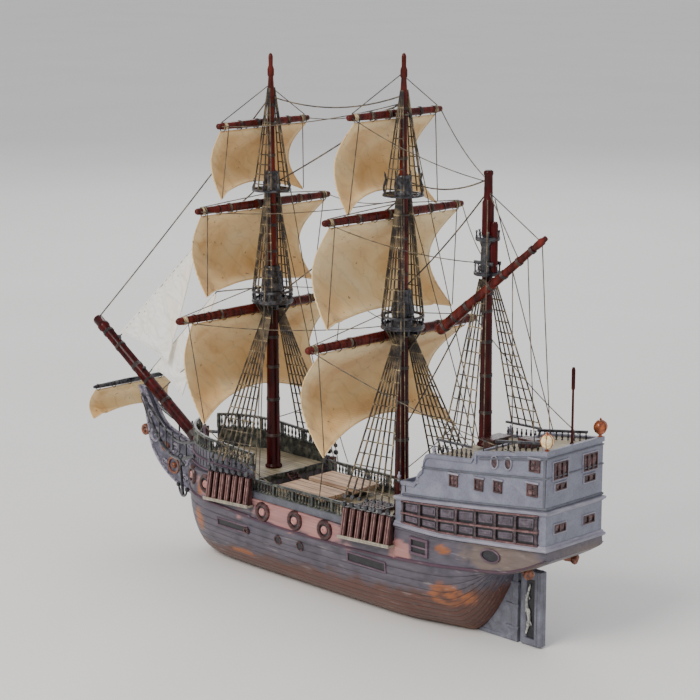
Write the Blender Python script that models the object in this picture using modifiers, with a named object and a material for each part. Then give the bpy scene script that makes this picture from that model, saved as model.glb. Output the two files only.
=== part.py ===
"""A three-masted model sailing ship, rebuilt piece by piece.

Ship axes: X runs from the bow (negative) to the stern (positive), Y from port (negative) to
starboard, and Z up from the flat of the bottom.  Lengths in this script are in millimetres, with
X = 0 at the main mast, and the helpers turn them into metres about the middle of the whole ship.
"""
import math

import bmesh
import bpy
from mathutils import Vector

MM = 0.001
MIDSHIP_OFFSET = 104.6      # from the main mast to the middle of the overall length
GAP = 0.3                   # clearance between neighbouring pieces
PORT, STARBOARD = -1, 1
SIDES = (("port", PORT), ("starboard", STARBOARD))

# Hull
STEM_X, TRANSOM_X = -240.0, 180.5
BOW_START_X, RUN_START_X = -180.0, 84.0
STERNPOST_X = 128.5
RUN_STATIONS = [RUN_START_X, 100.0, 112.0, 120.0, 125.0, 127.8]
BEAM_HALF = 46.0
TRANSOM_HALF = 32.5
STEM_HALF = 1.2
FLAT_HALF = 14.0            # half-width of the flat bottom
DEADWOOD_HALF = 3.0
COUNTER_Z = 62.0            # underside of the stern above the rudder
COUNTER_RISE = 20.0
BOW_LIFT_X, BOW_LIFT = -205.0, 25.0         # where the bottom starts to rise, and by how much
RUN_CURVE = 1.6                             # how late the bottom rises towards the sternpost
HOLLOW_START_X, RUN_HOLLOW = 40.0, 2.3      # the sections narrow low down from here to the sternpost
WALE_Z, WALE_LOW_X, WALE_CURVE = 51.5, -75.0, 0.0003
WALE_PROUD = 1.2
WAIST_Z, FORECASTLE_Z = 70.0, 80.0
FORECASTLE_AFT_X, CASTLE_FRONT_X = -130.0, 38.0
WAIST_RAIL_HEIGHT, WAIST_SHEER = 17.0, 0.015
FORECASTLE_WALL_HEIGHT, FORECASTLE_SHEER = 28.0, 8.0
BOW_STRAIGHT = 0.36         # the share of the forecastle's side that runs straight
DECK_THICK = 4.0
WALL_THICK = 3.0
FORECASTLE_WALL_INSET = 3.2

# Masts: place, foot, the height of each top, and truck
FORE_X, MAIN_X, MIZZEN_X = -151.0, 0.8, 89.5
FORE_FOOT_Z, FORE_TRUCK_Z = 84.6, 433.5
MAIN_FOOT_Z, MAIN_TRUCK_Z = 72.6, 441.8
MIZZEN_TRUCK_Z = 360.0
TOP_Z, TOP_HEIGHT, TOP_RADIUS = 226.0, 32.0, 17.5
FORE_CROSSTREE_Z, MAIN_CROSSTREE_Z = 320.0, 331.0
CROSSTREE_RADIUS = 16.5
MIZZEN_TOP_Z, MIZZEN_TOP_HEIGHT = 280.0, 31.0
LOWER_MAST_R = (5.7, 4.7)   # foot, head
MIZZEN_MAST_R = (4.8, 4.0)
MAST_COLLAR = 1.2           # how far the collar at a mast's foot stands out
TOPMAST_R = (3.4, 1.9)

# Yards: half-length and height; every square yard lies this far before its mast
YARD_OFFSET = 9.0
YARD_R = (3.4, 2.5)         # middle, end
# name: (mast x, yard z, yard half, head half, clew half, clew z, clew x offset,
#        leech bulge, belly, foot arch)
SQUARE_SAILS = {
    "fore_course": (FORE_X, 222.0, 97.0, 80.0, 72.0, 133.0, -6.0, 14.0, 16.0, 22.0),
    "fore_topsail": (FORE_X, 309.5, 75.0, 69.0, 60.0, 237.0, -14.0, 20.0, 8.0, 8.0),
    "fore_topgallant": (FORE_X, 376.5, 51.0, 47.0, 45.4, 316.5, -11.0, 14.0, 6.0, 12.0),
    "main_course": (MAIN_X, 221.0, 96.0, 80.0, 75.0, 133.0, -12.0, 22.0, 10.0, 22.0),
    "main_topsail": (MAIN_X, 317.0, 78.0, 71.0, 70.0, 233.5, -13.0, 20.0, 8.0, 8.0),
    "main_topgallant": (MAIN_X, 395.0, 52.0, 44.0, 49.5, 320.0, -11.0, 19.0, 6.0, 16.0),
}
SAIL_THICK = 1.2
SAIL_DROP = 1.2             # from a yard's underside to the head of its sail

FIGUREHEAD_X, FIGUREHEAD_Z = -324.8, 83.5
BOWSPRIT_HEEL = (-222.0, 71.8)
BOWSPRIT_TIP = (-390.0, 178.8)
BOWSPRIT_R = (5.2, 4.6)
SPRITSAIL_YARD = (-334.0, 131.0, 49.0)      # x, z, half-length
LATEEN_LOW, LATEEN_HIGH = (49.0, 233.0), (154.0, 317.0)
LATEEN_Y = -8.8
RUDDER_AXIS_X, RUDDER_HALF = 133.0, 4.0
RUDDER_AFT_X, RUDDER_LOW_Z, RUDDER_TOP_Z = 151.0, 1.0, 60.5

COLOURS = {
    # name: (colour, roughness, metallic)
    "hull_paint": ((0.20, 0.22, 0.27), 0.55, 0.0),
    "castle_paint": ((0.36, 0.38, 0.45), 0.5, 0.0),
    "gallery_paint": ((0.25, 0.21, 0.23), 0.55, 0.0),
    "keel_paint": ((0.40, 0.44, 0.52), 0.5, 0.0),
    "deck_wood": ((0.55, 0.46, 0.34), 0.6, 0.0),
    "rail_paint": ((0.09, 0.10, 0.10), 0.5, 0.0),
    "spar_wood": ((0.14, 0.03, 0.02), 0.3, 0.0),
    "top_paint": ((0.06, 0.06, 0.08), 0.4, 0.0),
    "sail_cloth": ((0.72, 0.58, 0.38), 0.8, 0.0),
    "jib_cloth": ((0.85, 0.80, 0.70), 0.8, 0.0),
    "rigging_cord": ((0.07, 0.05, 0.04), 0.8, 0.0),
    "channel_wood": ((0.12, 0.06, 0.05), 0.45, 0.0),
    "lantern_brass": ((0.75, 0.50, 0.18), 0.35, 0.9),
}


# ---------------------------------------------------------------- helpers

def reset_scene():
    for item in list(bpy.data.objects):
        bpy.data.objects.remove(item, do_unlink=True)


def new_collection(name):
    collection = bpy.data.collections.new(name)
    bpy.context.scene.collection.children.link(collection)
    return collection


def make_material(name):
    colour, roughness, metallic = COLOURS[name]
    material = bpy.data.materials.get(name) or bpy.data.materials.new(name)
    material.use_nodes = True
    shader = material.node_tree.nodes["Principled BSDF"]
    shader.inputs["Base Color"].default_value = (*colour, 1.0)
    shader.inputs["Roughness"].default_value = roughness
    shader.inputs["Metallic"].default_value = metallic
    return material


def metres(point):
    return Vector(point) * MM


def add_empty(name, point, parent=None):
    """An empty at a point given in ship millimetres."""
    empty = bpy.data.objects.new(name, None)
    ship_parts.objects.link(empty)
    empty.location = metres(point)
    if parent:
        empty.parent = parent
    return empty


def add_part(name, data, material_name, parent=None, at=(0, 0, 0)):
    """An object whose own zero is the point `at`, hung on the ship or on a pivot."""
    obj = bpy.data.objects.new(name, data)
    ship_parts.objects.link(obj)
    obj.data.materials.append(make_material(material_name))
    obj.parent = parent or ship_frame
    pivot_point = parent.location if parent else Vector((0, 0, 0))
    obj.location = metres(at) - pivot_point
    return obj


def closed_mesh(name, vertices, faces):
    mesh = bpy.data.meshes.new(name)
    mesh.from_pydata([metres(v) for v in vertices], [], faces)
    shape = bmesh.new()
    shape.from_mesh(mesh)
    bmesh.ops.recalc_face_normals(shape, faces=shape.faces)
    shape.to_mesh(mesh)
    shape.free()
    return mesh


def ribbed_solid(name, material, stations, levels, port_point, parent=None):
    """A solid lofted through ribs: port_point(x, level) gives the port side, mirrored to starboard."""
    columns, rows = len(stations), len(levels)
    port = [port_point(x, level) for x in stations for level in levels]
    starboard = [(x, -y, z) for x, y, z in port]
    count = len(port)

    def p(i, j):
        return i * rows + j

    def s(i, j):
        return count + i * rows + j

    faces = []
    for i in range(columns - 1):
        for j in range(rows - 1):
            faces.append((p(i, j), p(i + 1, j), p(i + 1, j + 1), p(i, j + 1)))
            faces.append((s(i, j), s(i, j + 1), s(i + 1, j + 1), s(i + 1, j)))
        faces.append((p(i, 0), s(i, 0), s(i + 1, 0), p(i + 1, 0)))
        faces.append((p(i, rows - 1), p(i + 1, rows - 1), s(i + 1, rows - 1), s(i, rows - 1)))
    for i in (0, columns - 1):
        for j in range(rows - 1):
            faces.append((p(i, j), p(i, j + 1), s(i, j + 1), s(i, j)))
    return add_part(name, closed_mesh(name, port + starboard, faces), material, parent)


def cell_solid(name, material, cuts, filled, place):
    """A lattice of box cells between the cuts on three axes, bent into place.

    filled(i, j, k) says which cells are solid; place(u, v, w) gives the ship point of a corner.
    """
    sizes = [len(cut) - 1 for cut in cuts]

    def solid(cell):
        return all(0 <= c < n for c, n in zip(cell, sizes)) and filled(*cell)

    index, vertices, faces = {}, [], []

    def corner(a, b, c):
        if (a, b, c) not in index:
            index[(a, b, c)] = len(vertices)
            vertices.append(place(cuts[0][a], cuts[1][b], cuts[2][c]))
        return index[(a, b, c)]

    squares = ((0, 0), (1, 0), (1, 1), (0, 1))
    for cell in ((i, j, k) for i in range(sizes[0]) for j in range(sizes[1]) for k in range(sizes[2])):
        if not solid(cell):
            continue
        for axis in range(3):
            for step in (-1, 1):
                neighbour = list(cell)
                neighbour[axis] += step
                if solid(tuple(neighbour)):
                    continue
                face = []
                for first, second in squares:
                    offset = [first, second]
                    offset.insert(axis, 1 if step > 0 else 0)
                    face.append(corner(*(c + o for c, o in zip(cell, offset))))
                # the corner order turns the other way on the low side and on the middle axis
                if (step < 0) != (axis == 1):
                    face.reverse()
                faces.append(tuple(face))
    return add_part(name, closed_mesh(name, vertices, faces), material)


def turned(name, material, profile, at, parent=None, steps=12, rotation=(0, 0, 0)):
    """A turned piece: (radius, height) points from top to bottom, spun about its own Z."""
    mesh = bpy.data.meshes.new(name)
    edges = [(i, i + 1) for i in range(len(profile) - 1)]
    mesh.from_pydata([metres((r, 0, z)) for r, z in profile], edges, [])
    obj = add_part(name, mesh, material, parent, at)
    obj.rotation_euler = rotation
    screw = obj.modifiers.new("Screw", "SCREW")
    screw.steps = screw.render_steps = steps
    screw.use_merge_vertices = True
    screw.merge_threshold = 0.00005
    screw.use_smooth_shade = False
    return obj


def filled_outline(name, outline, thickness):
    """A 2D curve filled on both faces, from (x, y) points, half its thickness to each side."""
    curve = bpy.data.curves.new(name, "CURVE")
    curve.dimensions = "2D"
    curve.fill_mode = "BOTH"
    curve.extrude = thickness / 2 * MM
    spline = curve.splines.new("POLY")
    spline.points.add(len(outline) - 1)
    spline.use_cyclic_u = True
    for point, (x, y) in zip(spline.points, outline):
        point.co = (x * MM, y * MM, 0, 1)
    return curve


def flat_plate(name, material, outline, thickness):
    """A flat plate standing on the centre line, from an outline of (x, z) points."""
    plate = add_part(name, filled_outline(name, outline, thickness), material)
    plate.rotation_euler = (math.pi / 2, 0, 0)
    return plate


def spar_profile(half_length, middle_r, end_r, z=0.0):
    """Half-tapered spar, from its upper end down."""
    ends = [(0, half_length), (end_r, half_length), (middle_r, half_length * 0.35)]
    return [(r, z + h) for r, h in ends] + [(r, z - h) for r, h in reversed(ends)]


def blend(a, b, t):
    return a + (b - a) * t


# ---------------------------------------------------------------- hull form

def half_beam(x):
    """Half-width of the hull at the wale."""
    if x < BOW_START_X:
        reach = min(1.0, (BOW_START_X - x) / (BOW_START_X - STEM_X))
        return max(STEM_HALF, BEAM_HALF * math.sqrt(1 - reach ** 2))
    narrowing = max(0.0, (x - 60) / (TRANSOM_X - 60))
    return BEAM_HALF - (BEAM_HALF - TRANSOM_HALF) * narrowing ** 1.5


def wale_z(x):
    return WALE_Z + WALE_CURVE * (x - WALE_LOW_X) ** 2


def bottom_z(x):
    """Height of the hull's underside on the centre line."""
    if x < BOW_LIFT_X:
        return BOW_LIFT * ((BOW_LIFT_X - x) / (BOW_LIFT_X - STEM_X)) ** 2
    if x < RUN_START_X:
        return 0.0
    if x < STERNPOST_X:
        return COUNTER_Z * ((x - RUN_START_X) / (STERNPOST_X - RUN_START_X)) ** RUN_CURVE
    return COUNTER_Z + COUNTER_RISE * ((x - STERNPOST_X) / (TRANSOM_X - STERNPOST_X)) ** 1.8


def flat_half(x):
    """Half-width of the underside's flat strip."""
    if x < -150:
        return max(STEM_HALF * 0.8, FLAT_HALF * (1 - ((-150 - x) / 92) ** 2))
    if x < 20:
        return FLAT_HALF
    if x < STERNPOST_X:
        return blend(FLAT_HALF, DEADWOOD_HALF + 0.4, min(1.0, (x - 20) / 72))
    return blend(DEADWOOD_HALF + 0.4, TRANSOM_HALF * 0.8, ((x - STERNPOST_X) / 52) ** 0.8)


def hollow(x):
    """How much a section narrows low down: 1 is round, and more is hollower."""
    rise = (x - HOLLOW_START_X) / (STERNPOST_X - HOLLOW_START_X)
    fall = (TRANSOM_X - x) / (TRANSOM_X - STERNPOST_X)
    return 1.0 + (RUN_HOLLOW - 1.0) * max(0.0, min(rise, fall))


def deck_edge_z(x):
    """Top of the hull proper, where the upper works stand."""
    if x <= FORECASTLE_AFT_X:
        return FORECASTLE_Z
    if x < CASTLE_FRONT_X:
        return WAIST_Z
    return 83.0 + 6.5 * max(0.0, (x - RUN_START_X) / (TRANSOM_X - RUN_START_X))


# how far up the section, from the bottom (0) over the wale (1) to the deck edge (2), and how far out
HULL_LEVELS = [(math.sin(math.radians(a)), 0.0) for a in (0, 12, 24, 38, 54, 72, 90)]
HULL_LEVELS += [(1.01, WALE_PROUD), (1.12, WALE_PROUD), (1.13, 0.0), (2.0, 0.0)]


def hull_point(x, step):
    """A point of the port side at one of the hull's levels."""
    level, outset = step
    low, wale, top = bottom_z(x), wale_z(x), deck_edge_z(x)
    wale = max(wale, low + 2.0)
    if level <= 1.0:
        angle = math.asin(level)
        width = blend(flat_half(x), half_beam(x), math.sin(angle) ** hollow(x))
        z = low + (wale - low) * (1 - math.cos(angle))
    else:
        width = half_beam(x) - 1.0 * (level - 1.0)
        z = blend(wale, top, level - 1.0)
    return (x, -(max(width, STEM_HALF * 0.8) + outset), z)


def hull_stations():
    bow = [BOW_START_X - (BOW_START_X - STEM_X) * math.sin(math.radians(a)) for a in (90, 78, 64, 50, 34, 17)]
    middle = [-180, -150, FORECASTLE_AFT_X, FORECASTLE_AFT_X + 0.5, -80, -30, 10, CASTLE_FRONT_X - 0.5]
    stern = [CASTLE_FRONT_X, 60] + RUN_STATIONS + [STERNPOST_X, 140, 155, 168, TRANSOM_X]
    return bow + middle + stern


def make_bowsprit_cutter():
    """A rod a little fatter than the bowsprit, for the holes that it passes through."""
    cutter = spar_between("bowsprit_cutter", "spar_wood", BOWSPRIT_HEEL, BOWSPRIT_TIP,
                          tuple(r + GAP for r in BOWSPRIT_R), overrun=GAP)
    ship_parts.objects.unlink(cutter)
    ship_cutters.objects.link(cutter)
    cutter.hide_render = True
    cutter.display_type = "WIRE"
    return cutter


def spar_between(name, material, low, high, radii, y=0.0, parent=None, overrun=0.0):
    """A tapered round spar in an XZ plane, from its (x, z) heel to its tip."""
    dx, dz = high[0] - low[0], high[1] - low[1]
    length = math.hypot(dx, dz)
    profile = [(0, length), (radii[1], length), (radii[0], -overrun), (0, -overrun)]
    tilt = math.atan2(dx, dz)
    return turned(name, material, profile, (low[0], y, low[1]), parent, rotation=(0, tilt, 0))


def cut(obj, cutter):
    modifier = obj.modifiers.new("Boolean", "BOOLEAN")
    modifier.operation = "DIFFERENCE"
    modifier.solver = "EXACT"
    modifier.object = cutter


def make_hull():
    hull = ribbed_solid("hull", "hull_paint", hull_stations(), HULL_LEVELS, hull_point)
    cut(hull, bowsprit_cutter)


def make_deadwood():
    """The thin keel fin that carries the rudder, under the rising run."""
    top = [(x, bottom_z(x) - GAP) for x in RUN_STATIONS[1:]]
    nose = (RUN_STATIONS[0] + 4.0, 0.0)
    flat_plate("deadwood", "keel_paint", [(RUN_STATIONS[-1], 0.0)] + top[::-1] + [nose],
               2 * DEADWOOD_HALF)


# ---------------------------------------------------------------- decks and rails

def make_waist_deck():
    front, aft = FORECASTLE_AFT_X + 1, CASTLE_FRONT_X - 1
    stations = [blend(front, aft, t / 6) for t in range(7)]
    inset = WALL_THICK + 2.0

    def point(x, level):
        return (x, -(half_beam(x) - inset), WAIST_Z + GAP + 2.0 * level)

    ribbed_solid("waist_deck", "deck_wood", stations, [0, 1], point)


def make_forecastle_deck():
    stations = [0.0, BOW_STRAIGHT] + [blend(BOW_STRAIGHT, 1.0, t / 10) for t in range(1, 11)]

    def point(s, level):
        x, y = bow_plan(s, FORECASTLE_WALL_INSET + WALL_THICK + 0.7)
        return (x, -y, FORECASTLE_Z + GAP + DECK_THICK * level)

    cut(ribbed_solid("forecastle_deck", "deck_wood", stations, [0, 1], point), bowsprit_cutter)


def make_decks():
    make_waist_deck()
    make_forecastle_deck()
    for name, side in SIDES:
        make_hatch_board(name, side)


def make_hatch_board(name, side):
    """A wide board standing on its coaming, beside the open middle of the waist."""
    low = WAIST_Z + 2.0 + 2 * GAP
    cuts = ([-112.0, -104.0, -64.0, -56.0], [4.0, 9.0, 27.0, 32.0], [low, 78.6, 82.4])
    cell_solid("hatch_board_" + name, "deck_wood", cuts,
               lambda i, j, k: k == 1 or (i == 1 and j == 1),
               lambda x, y, z: (x, side * y, z))


def comb_cuts(start, end, posts, post_width):
    """Cuts along a rail: post, gap, post, gap, ... post."""
    pitch = (end - start - post_width) / (posts - 1)
    cuts = []
    for i in range(posts):
        cuts += [start + i * pitch, start + i * pitch + post_width]
    return cuts


def make_waist_rail(name, side):
    """Bulwark and balustrade along the open waist."""
    cuts = comb_cuts(FORECASTLE_AFT_X + 1.5, CASTLE_FRONT_X - 1.5, 13, 3.0)
    heights = [WAIST_Z + GAP, 76.5, 84.0, 87.0]
    outer, inner = 1.4, 1.4 + WALL_THICK

    def place(x, depth, z):
        sheer = WAIST_SHEER * (x - FORECASTLE_AFT_X) * (z - WAIST_Z) / WAIST_RAIL_HEIGHT
        return (x, side * (half_beam(x) - depth), z + sheer)

    cell_solid("waist_rail_" + name, "rail_paint", (cuts, [outer, inner], heights),
               lambda i, j, k: k != 1 or i % 2 == 0, place)


def bow_plan(s, depth):
    """Plan of the forecastle's side: s = 0 at its aft end, 1 beside the stem."""
    if s <= BOW_STRAIGHT:
        x = blend(FORECASTLE_AFT_X - GAP, BOW_START_X, s / BOW_STRAIGHT)
        return x, BEAM_HALF - depth
    angle = math.radians(blend(90, 13, (s - BOW_STRAIGHT) / (1 - BOW_STRAIGHT)))
    reach = BOW_START_X - STEM_X - depth
    return BOW_START_X - reach * math.cos(angle), (BEAM_HALF - depth) * math.sin(angle)


def make_forecastle_wall(name, side):
    cuts = comb_cuts(0.0, 1.0, 13, 0.022)
    heights = [FORECASTLE_Z + GAP, 97.0, 105.0, 108.0]
    outer = FORECASTLE_WALL_INSET
    inner = outer + WALL_THICK

    def place(s, depth, z):
        x, y = bow_plan(s, depth)
        sheer = FORECASTLE_SHEER * s * (z - FORECASTLE_Z) / FORECASTLE_WALL_HEIGHT
        return (x, side * y, z + sheer)

    cell_solid("forecastle_wall_" + name, "hull_paint", (cuts, [outer, inner], heights),
               lambda i, j, k: k != 1 or i % 2 == 0, place)


# ---------------------------------------------------------------- stern castle

CASTLE_SLOPE = 0.0925
QUARTER_TOP_Z = 149.5
POOP_FRONT_X, POOP_TOP_Z, POOP_SLOPE = 117.0, 156.0, 0.15
LANTERN_X, LANTERN_Y, FLAGSTAFF_X = 177.4, 30.4, 175.5


def gallery_low_z(x):
    return deck_edge_z(x) + GAP


def gallery_top_z(x):
    return 108.0 + CASTLE_SLOPE * (x - 47)


def quarter_top_z(x):
    """Stepped top of the quarterdeck's side."""
    steps = ((40, 119.5), (60, 121.0), (64, 131.0), (68, 142.0), (72, 146.5), (115, QUARTER_TOP_Z))
    for (x0, z0), (x1, z1) in zip(steps, steps[1:]):
        if x <= x1:
            return blend(z0, z1, (x - x0) / (x1 - x0))
    return QUARTER_TOP_Z


def poop_top_z(x):
    return POOP_TOP_Z + POOP_SLOPE * (x - POOP_FRONT_X)


def storey(name, material, stations, levels):
    """A storey of the stern: levels are (height function, how far it stands out)."""
    def point(x, level):
        height, outset = level
        reach = outset if x == stations[-1] else 0.0
        return (x + reach, -(half_beam(x) - 0.6 + outset), height(x))

    return ribbed_solid(name, material, stations, levels, point)


def make_stern():
    def raised(function, offset):
        return lambda x: function(x) + offset

    gallery_stations = [CASTLE_FRONT_X + 0.3, 60, 84, 105, 130, 155, TRANSOM_X]
    storey("gallery_storey", "castle_paint", gallery_stations, [
        (raised(gallery_low_z, 0), 2.4), (raised(gallery_low_z, 3.0), 2.4),
        (raised(gallery_low_z, 3.6), 0.0), (raised(gallery_top_z, -3.6), 0.0),
        (raised(gallery_top_z, -3.0), 2.4), (raised(gallery_top_z, 0), 2.4)])
    quarter_stations = [44, 60, 64, 68, 72, 90, 115.5, 148, TRANSOM_X - 1.5]
    storey("quarter_house", "castle_paint", quarter_stations,
           [(raised(gallery_top_z, GAP), 0.0), (quarter_top_z, -0.8)])
    poop_stations = [POOP_FRONT_X - 0.5, 135, 158, TRANSOM_X - 1.5]
    storey("poop_house", "castle_paint", poop_stations,
           [(lambda x: QUARTER_TOP_Z + GAP, -0.8), (raised(poop_top_z, -2.0), -1.0),
            (raised(poop_top_z, -1.6), 0.6), (poop_top_z, 0.6)])


def make_gallery(name, side):
    """Two rows of seven framed windows along the castle's side."""
    columns = comb_cuts(46.0, 173.0, 8, 3.0)
    rows = [0.0, 0.08, 0.46, 0.56, 0.93, 1.0]
    back, front, face = GAP, 0.9, 1.8

    def place(x, outset, t):
        low = gallery_low_z(x) + 4.2
        high = gallery_top_z(x) - 4.2
        return (x, side * (half_beam(x) - 0.6 + outset), blend(low, high, t))

    cell_solid("gallery_" + name, "gallery_paint", (columns, [back, front, face], rows),
               lambda i, j, k: j == 0 or i % 2 == 0 or k % 2 == 0, place)


def make_lantern(name, side):
    profile = [(0, 14), (1.2, 12.6), (4.2, 10.5), (5.2, 8.0), (4.4, 4.6), (1.6, 3.2), (1.6, 0), (0, 0)]
    foot = poop_top_z(LANTERN_X) + 2 * GAP
    turned("lantern_" + name, "lantern_brass", profile, (LANTERN_X, side * LANTERN_Y, foot), steps=10)


def make_flagstaff():
    foot = poop_top_z(FLAGSTAFF_X) + 2 * GAP
    profile = [(0, 224 - foot), (1.5, 222 - foot), (1.5, 206 - foot), (1.0, 205 - foot), (1.3, 0), (0, 0)]
    turned("flagstaff", "spar_wood", profile, (FLAGSTAFF_X, 0, foot), steps=8)


# ---------------------------------------------------------------- bow

def make_beakhead():
    outline = [(-240.7, 36), (-262, 42), (-285, 50), (-303, 62), (-315, 76), (-320, 92),
               (-325, 108), (-330, 121), (-322, 121), (-311, 104), (-297, 92), (-275, 85), (-240.7, 74)]
    flat_plate("beakhead", "castle_paint", outline, 9.0)


def make_figurehead():
    """A plain scroll: a turned volute across the tip of the beakhead."""
    half = 5.0
    profile = [(0, half), (2.0, half), (2.6, half - 1.2), (5.6, half - 0.4), (6.4, half - 1.4),
               (6.4, 1.4 - half), (5.6, 0.4 - half), (2.6, 1.2 - half), (2.0, -half), (0, -half)]
    turned("figurehead", "lantern_brass", profile, (FIGUREHEAD_X, 0, FIGUREHEAD_Z),
           rotation=(math.pi / 2, 0, 0))


# ---------------------------------------------------------------- masts

def make_top(name, mast_x, foot_z):
    """Round top with its rail drum and mast cap."""
    profile = [(0, 32), (6.2, 32), (6.8, 29.5), (6.2, 28), (9.0, 13), (TOP_RADIUS, 12), (TOP_RADIUS, 10),
               (11.0, 9.4), (11.0, 4), (TOP_RADIUS, 3), (TOP_RADIUS, 0.6), (8.0, 0), (0, 0)]
    turned(name, "top_paint", profile, (mast_x, 0, foot_z), steps=14)


def make_crosstree(name, mast_x, z, bore):
    """Ring-shaped crosstree with its cap block, slipped over the topmast."""
    profile = [(bore, 17), (5.4, 17), (5.8, 15), (5.2, 13.6), (6.6, 3.4), (CROSSTREE_RADIUS, 2.4),
               (CROSSTREE_RADIUS, 0.6), (7.0, 0), (bore, 0), (bore, 17)]
    turned(name, "top_paint", profile, (mast_x, 0, z), steps=12)


def make_pole(name, mast_x, low_z, truck_z, radii, crosstree_z):
    length = truck_z - low_z
    middle = blend(radii[0], radii[1], 0.45)
    narrow = truck_z - 38 - low_z
    profile = [(0, length), (1.2, length), (1.9, length - 2.5), (1.8, length - 10),
               (radii[1] + 0.9, length - 13), (radii[1] + 0.9, length - 18), (radii[1] + 0.2, length - 19),
               (middle, narrow), (middle, crosstree_z + 20 - low_z),
               (radii[0] - 0.2, crosstree_z + 18 - low_z), (radii[0], 0), (0, 0)]
    turned(name, "spar_wood", profile, (mast_x, 0, low_z), steps=12)


def make_lower_mast(name, mast_x, low_z, high_z, radii):
    length = high_z - low_z
    foot_r, head_r = radii
    profile = [(0, length), (head_r, length), (head_r, length * 0.97), (foot_r, 3),
               (foot_r + MAST_COLLAR, 2.5), (foot_r + MAST_COLLAR, 0), (0, 0)]
    turned(name, "spar_wood", profile, (mast_x, 0, low_z), steps=12)


def make_masts():
    for name, mast_x, foot, truck, crosstree in (
            ("fore", FORE_X, FORE_FOOT_Z, FORE_TRUCK_Z, FORE_CROSSTREE_Z),
            ("main", MAIN_X, MAIN_FOOT_Z, MAIN_TRUCK_Z, MAIN_CROSSTREE_Z)):
        make_lower_mast(name + "_lower_mast", mast_x, foot, TOP_Z - GAP, LOWER_MAST_R)
        make_top(name + "_top", mast_x, TOP_Z)
        make_pole(name + "_topmast", mast_x, TOP_Z + TOP_HEIGHT + GAP, truck, TOPMAST_R, crosstree)
        make_crosstree(name + "_crosstree", mast_x, crosstree, TOPMAST_R[0] + GAP)


def make_mizzen():
    deck_z = quarter_top_z(MIZZEN_X) + 2 * GAP
    make_lower_mast("mizzen_lower_mast", MIZZEN_X, deck_z, MIZZEN_TOP_Z - GAP, MIZZEN_MAST_R)
    profile = [(0, 31), (5.5, 31), (9.5, 30), (9.5, 27.5), (6.0, 26.5), (4.8, 22), (5.6, 4), (10.5, 3.2),
               (10.5, 1.0), (6.0, 0), (0, 0)]
    turned("mizzen_top", "top_paint", profile, (MIZZEN_X, 0, MIZZEN_TOP_Z))
    low = MIZZEN_TOP_Z + MIZZEN_TOP_HEIGHT + GAP
    length = MIZZEN_TRUCK_Z - low
    pole = [(0, length), (2.6, length), (3.4, length - 22), (4.6, length - 24), (4.6, 0), (0, 0)]
    turned("mizzen_topmast", "spar_wood", pole, (MIZZEN_X, 0, low))


# ---------------------------------------------------------------- yards and sails

def sail_sheet(name, material, point, columns, rows, parent=None):
    """A sail: an open bellied grid, thickened on its after side."""
    vertices = [point(i / columns * 2 - 1, j / rows) for j in range(rows + 1) for i in range(columns + 1)]
    faces = []
    for j in range(rows):
        for i in range(columns):
            a = j * (columns + 1) + i
            faces.append((a, a + 1, a + columns + 2, a + columns + 1))
    mesh = bpy.data.meshes.new(name)
    mesh.from_pydata([metres(v) for v in vertices], [], faces)
    obj = add_part(name, mesh, material, parent)
    shell = obj.modifiers.new("Solidify", "SOLIDIFY")
    shell.thickness = SAIL_THICK * MM
    shell.offset = 0.0
    return obj


def square_sail_point(name):
    mast_x, yard_z, _, head_half, clew_half, clew_z, clew_dx, leech, belly, arch = SQUARE_SAILS[name]
    head_z = yard_z - YARD_R[0] - SAIL_DROP
    head_x = mast_x - YARD_OFFSET

    def point(u, v):
        y = u * blend(head_half, clew_half, v) * (1 - 0.07 * math.sin(math.pi * v))
        foot_lift = arch * (1 - u ** 2) * v ** 3
        z = blend(head_z, clew_z, v) + foot_lift
        straight_x = blend(head_x, mast_x + clew_dx, v)
        fullness = math.sin(math.pi * (0.12 + 0.76 * v) * v ** 0.5)
        forward = leech * math.sin(math.pi * v) + (1 - u ** 2) * (belly * fullness + 10 * v)
        return (straight_x - forward, y, z)

    return point


def make_square_rig(name):
    mast_x, yard_z, yard_half = SQUARE_SAILS[name][:3]
    pivot = add_empty(name + "_pivot", (mast_x, 0, yard_z), ship_frame)
    turned(name + "_yard", "spar_wood", spar_profile(yard_half, *YARD_R),
           (mast_x - YARD_OFFSET, 0, yard_z), pivot, steps=8, rotation=(math.pi / 2, 0, 0))
    sail_sheet(name + "_sail", "sail_cloth", square_sail_point(name), 6, 5, pivot)


def make_lateen():
    pivot = add_empty("lateen_pivot", (MIZZEN_X, 0, 262.0), ship_frame)
    spar_between("lateen_yard", "spar_wood", LATEEN_LOW, LATEEN_HIGH, (4.4, 2.4), LATEEN_Y, pivot)


def make_spritsail():
    x, z, half = SPRITSAIL_YARD
    turned("spritsail_yard", "spar_wood", spar_profile(half, 2.4, 1.8), (x, 0, z), steps=8,
           rotation=(math.pi / 2, 0, 0))

    def point(u, v):
        drop = 27 * v * (0.72 + 0.28 * u ** 2)
        return (x - 1.0 - 11 * math.sin(math.pi * 0.8 * v), u * (46 - 2 * v), z - 3.6 - drop)

    sail_sheet("spritsail", "sail_cloth", point, 6, 4)


def make_jib(name, tack, clew, head, belly, drift):
    """A triangular headsail, in three strips that narrow to its head."""
    def point(u, v):
        w = 0.5 * (u + 1)
        reach = 1 - 0.97 * v
        low_x, low_z = blend(tack[0], clew[0], w), blend(tack[1], clew[1], w)
        lift = 6 * math.sin(math.pi * w) * (1 - v)
        x = blend(head[0], low_x, reach)
        z = blend(head[1], low_z, reach) + lift
        side = drift * w * reach + belly * math.sin(math.pi * w) * math.sin(math.pi * (0.15 + 0.8 * v))
        return (x, side, z)

    sail_sheet(name, "jib_cloth", point, 4, 5)


# ---------------------------------------------------------------- channels, shrouds and rudder

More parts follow.
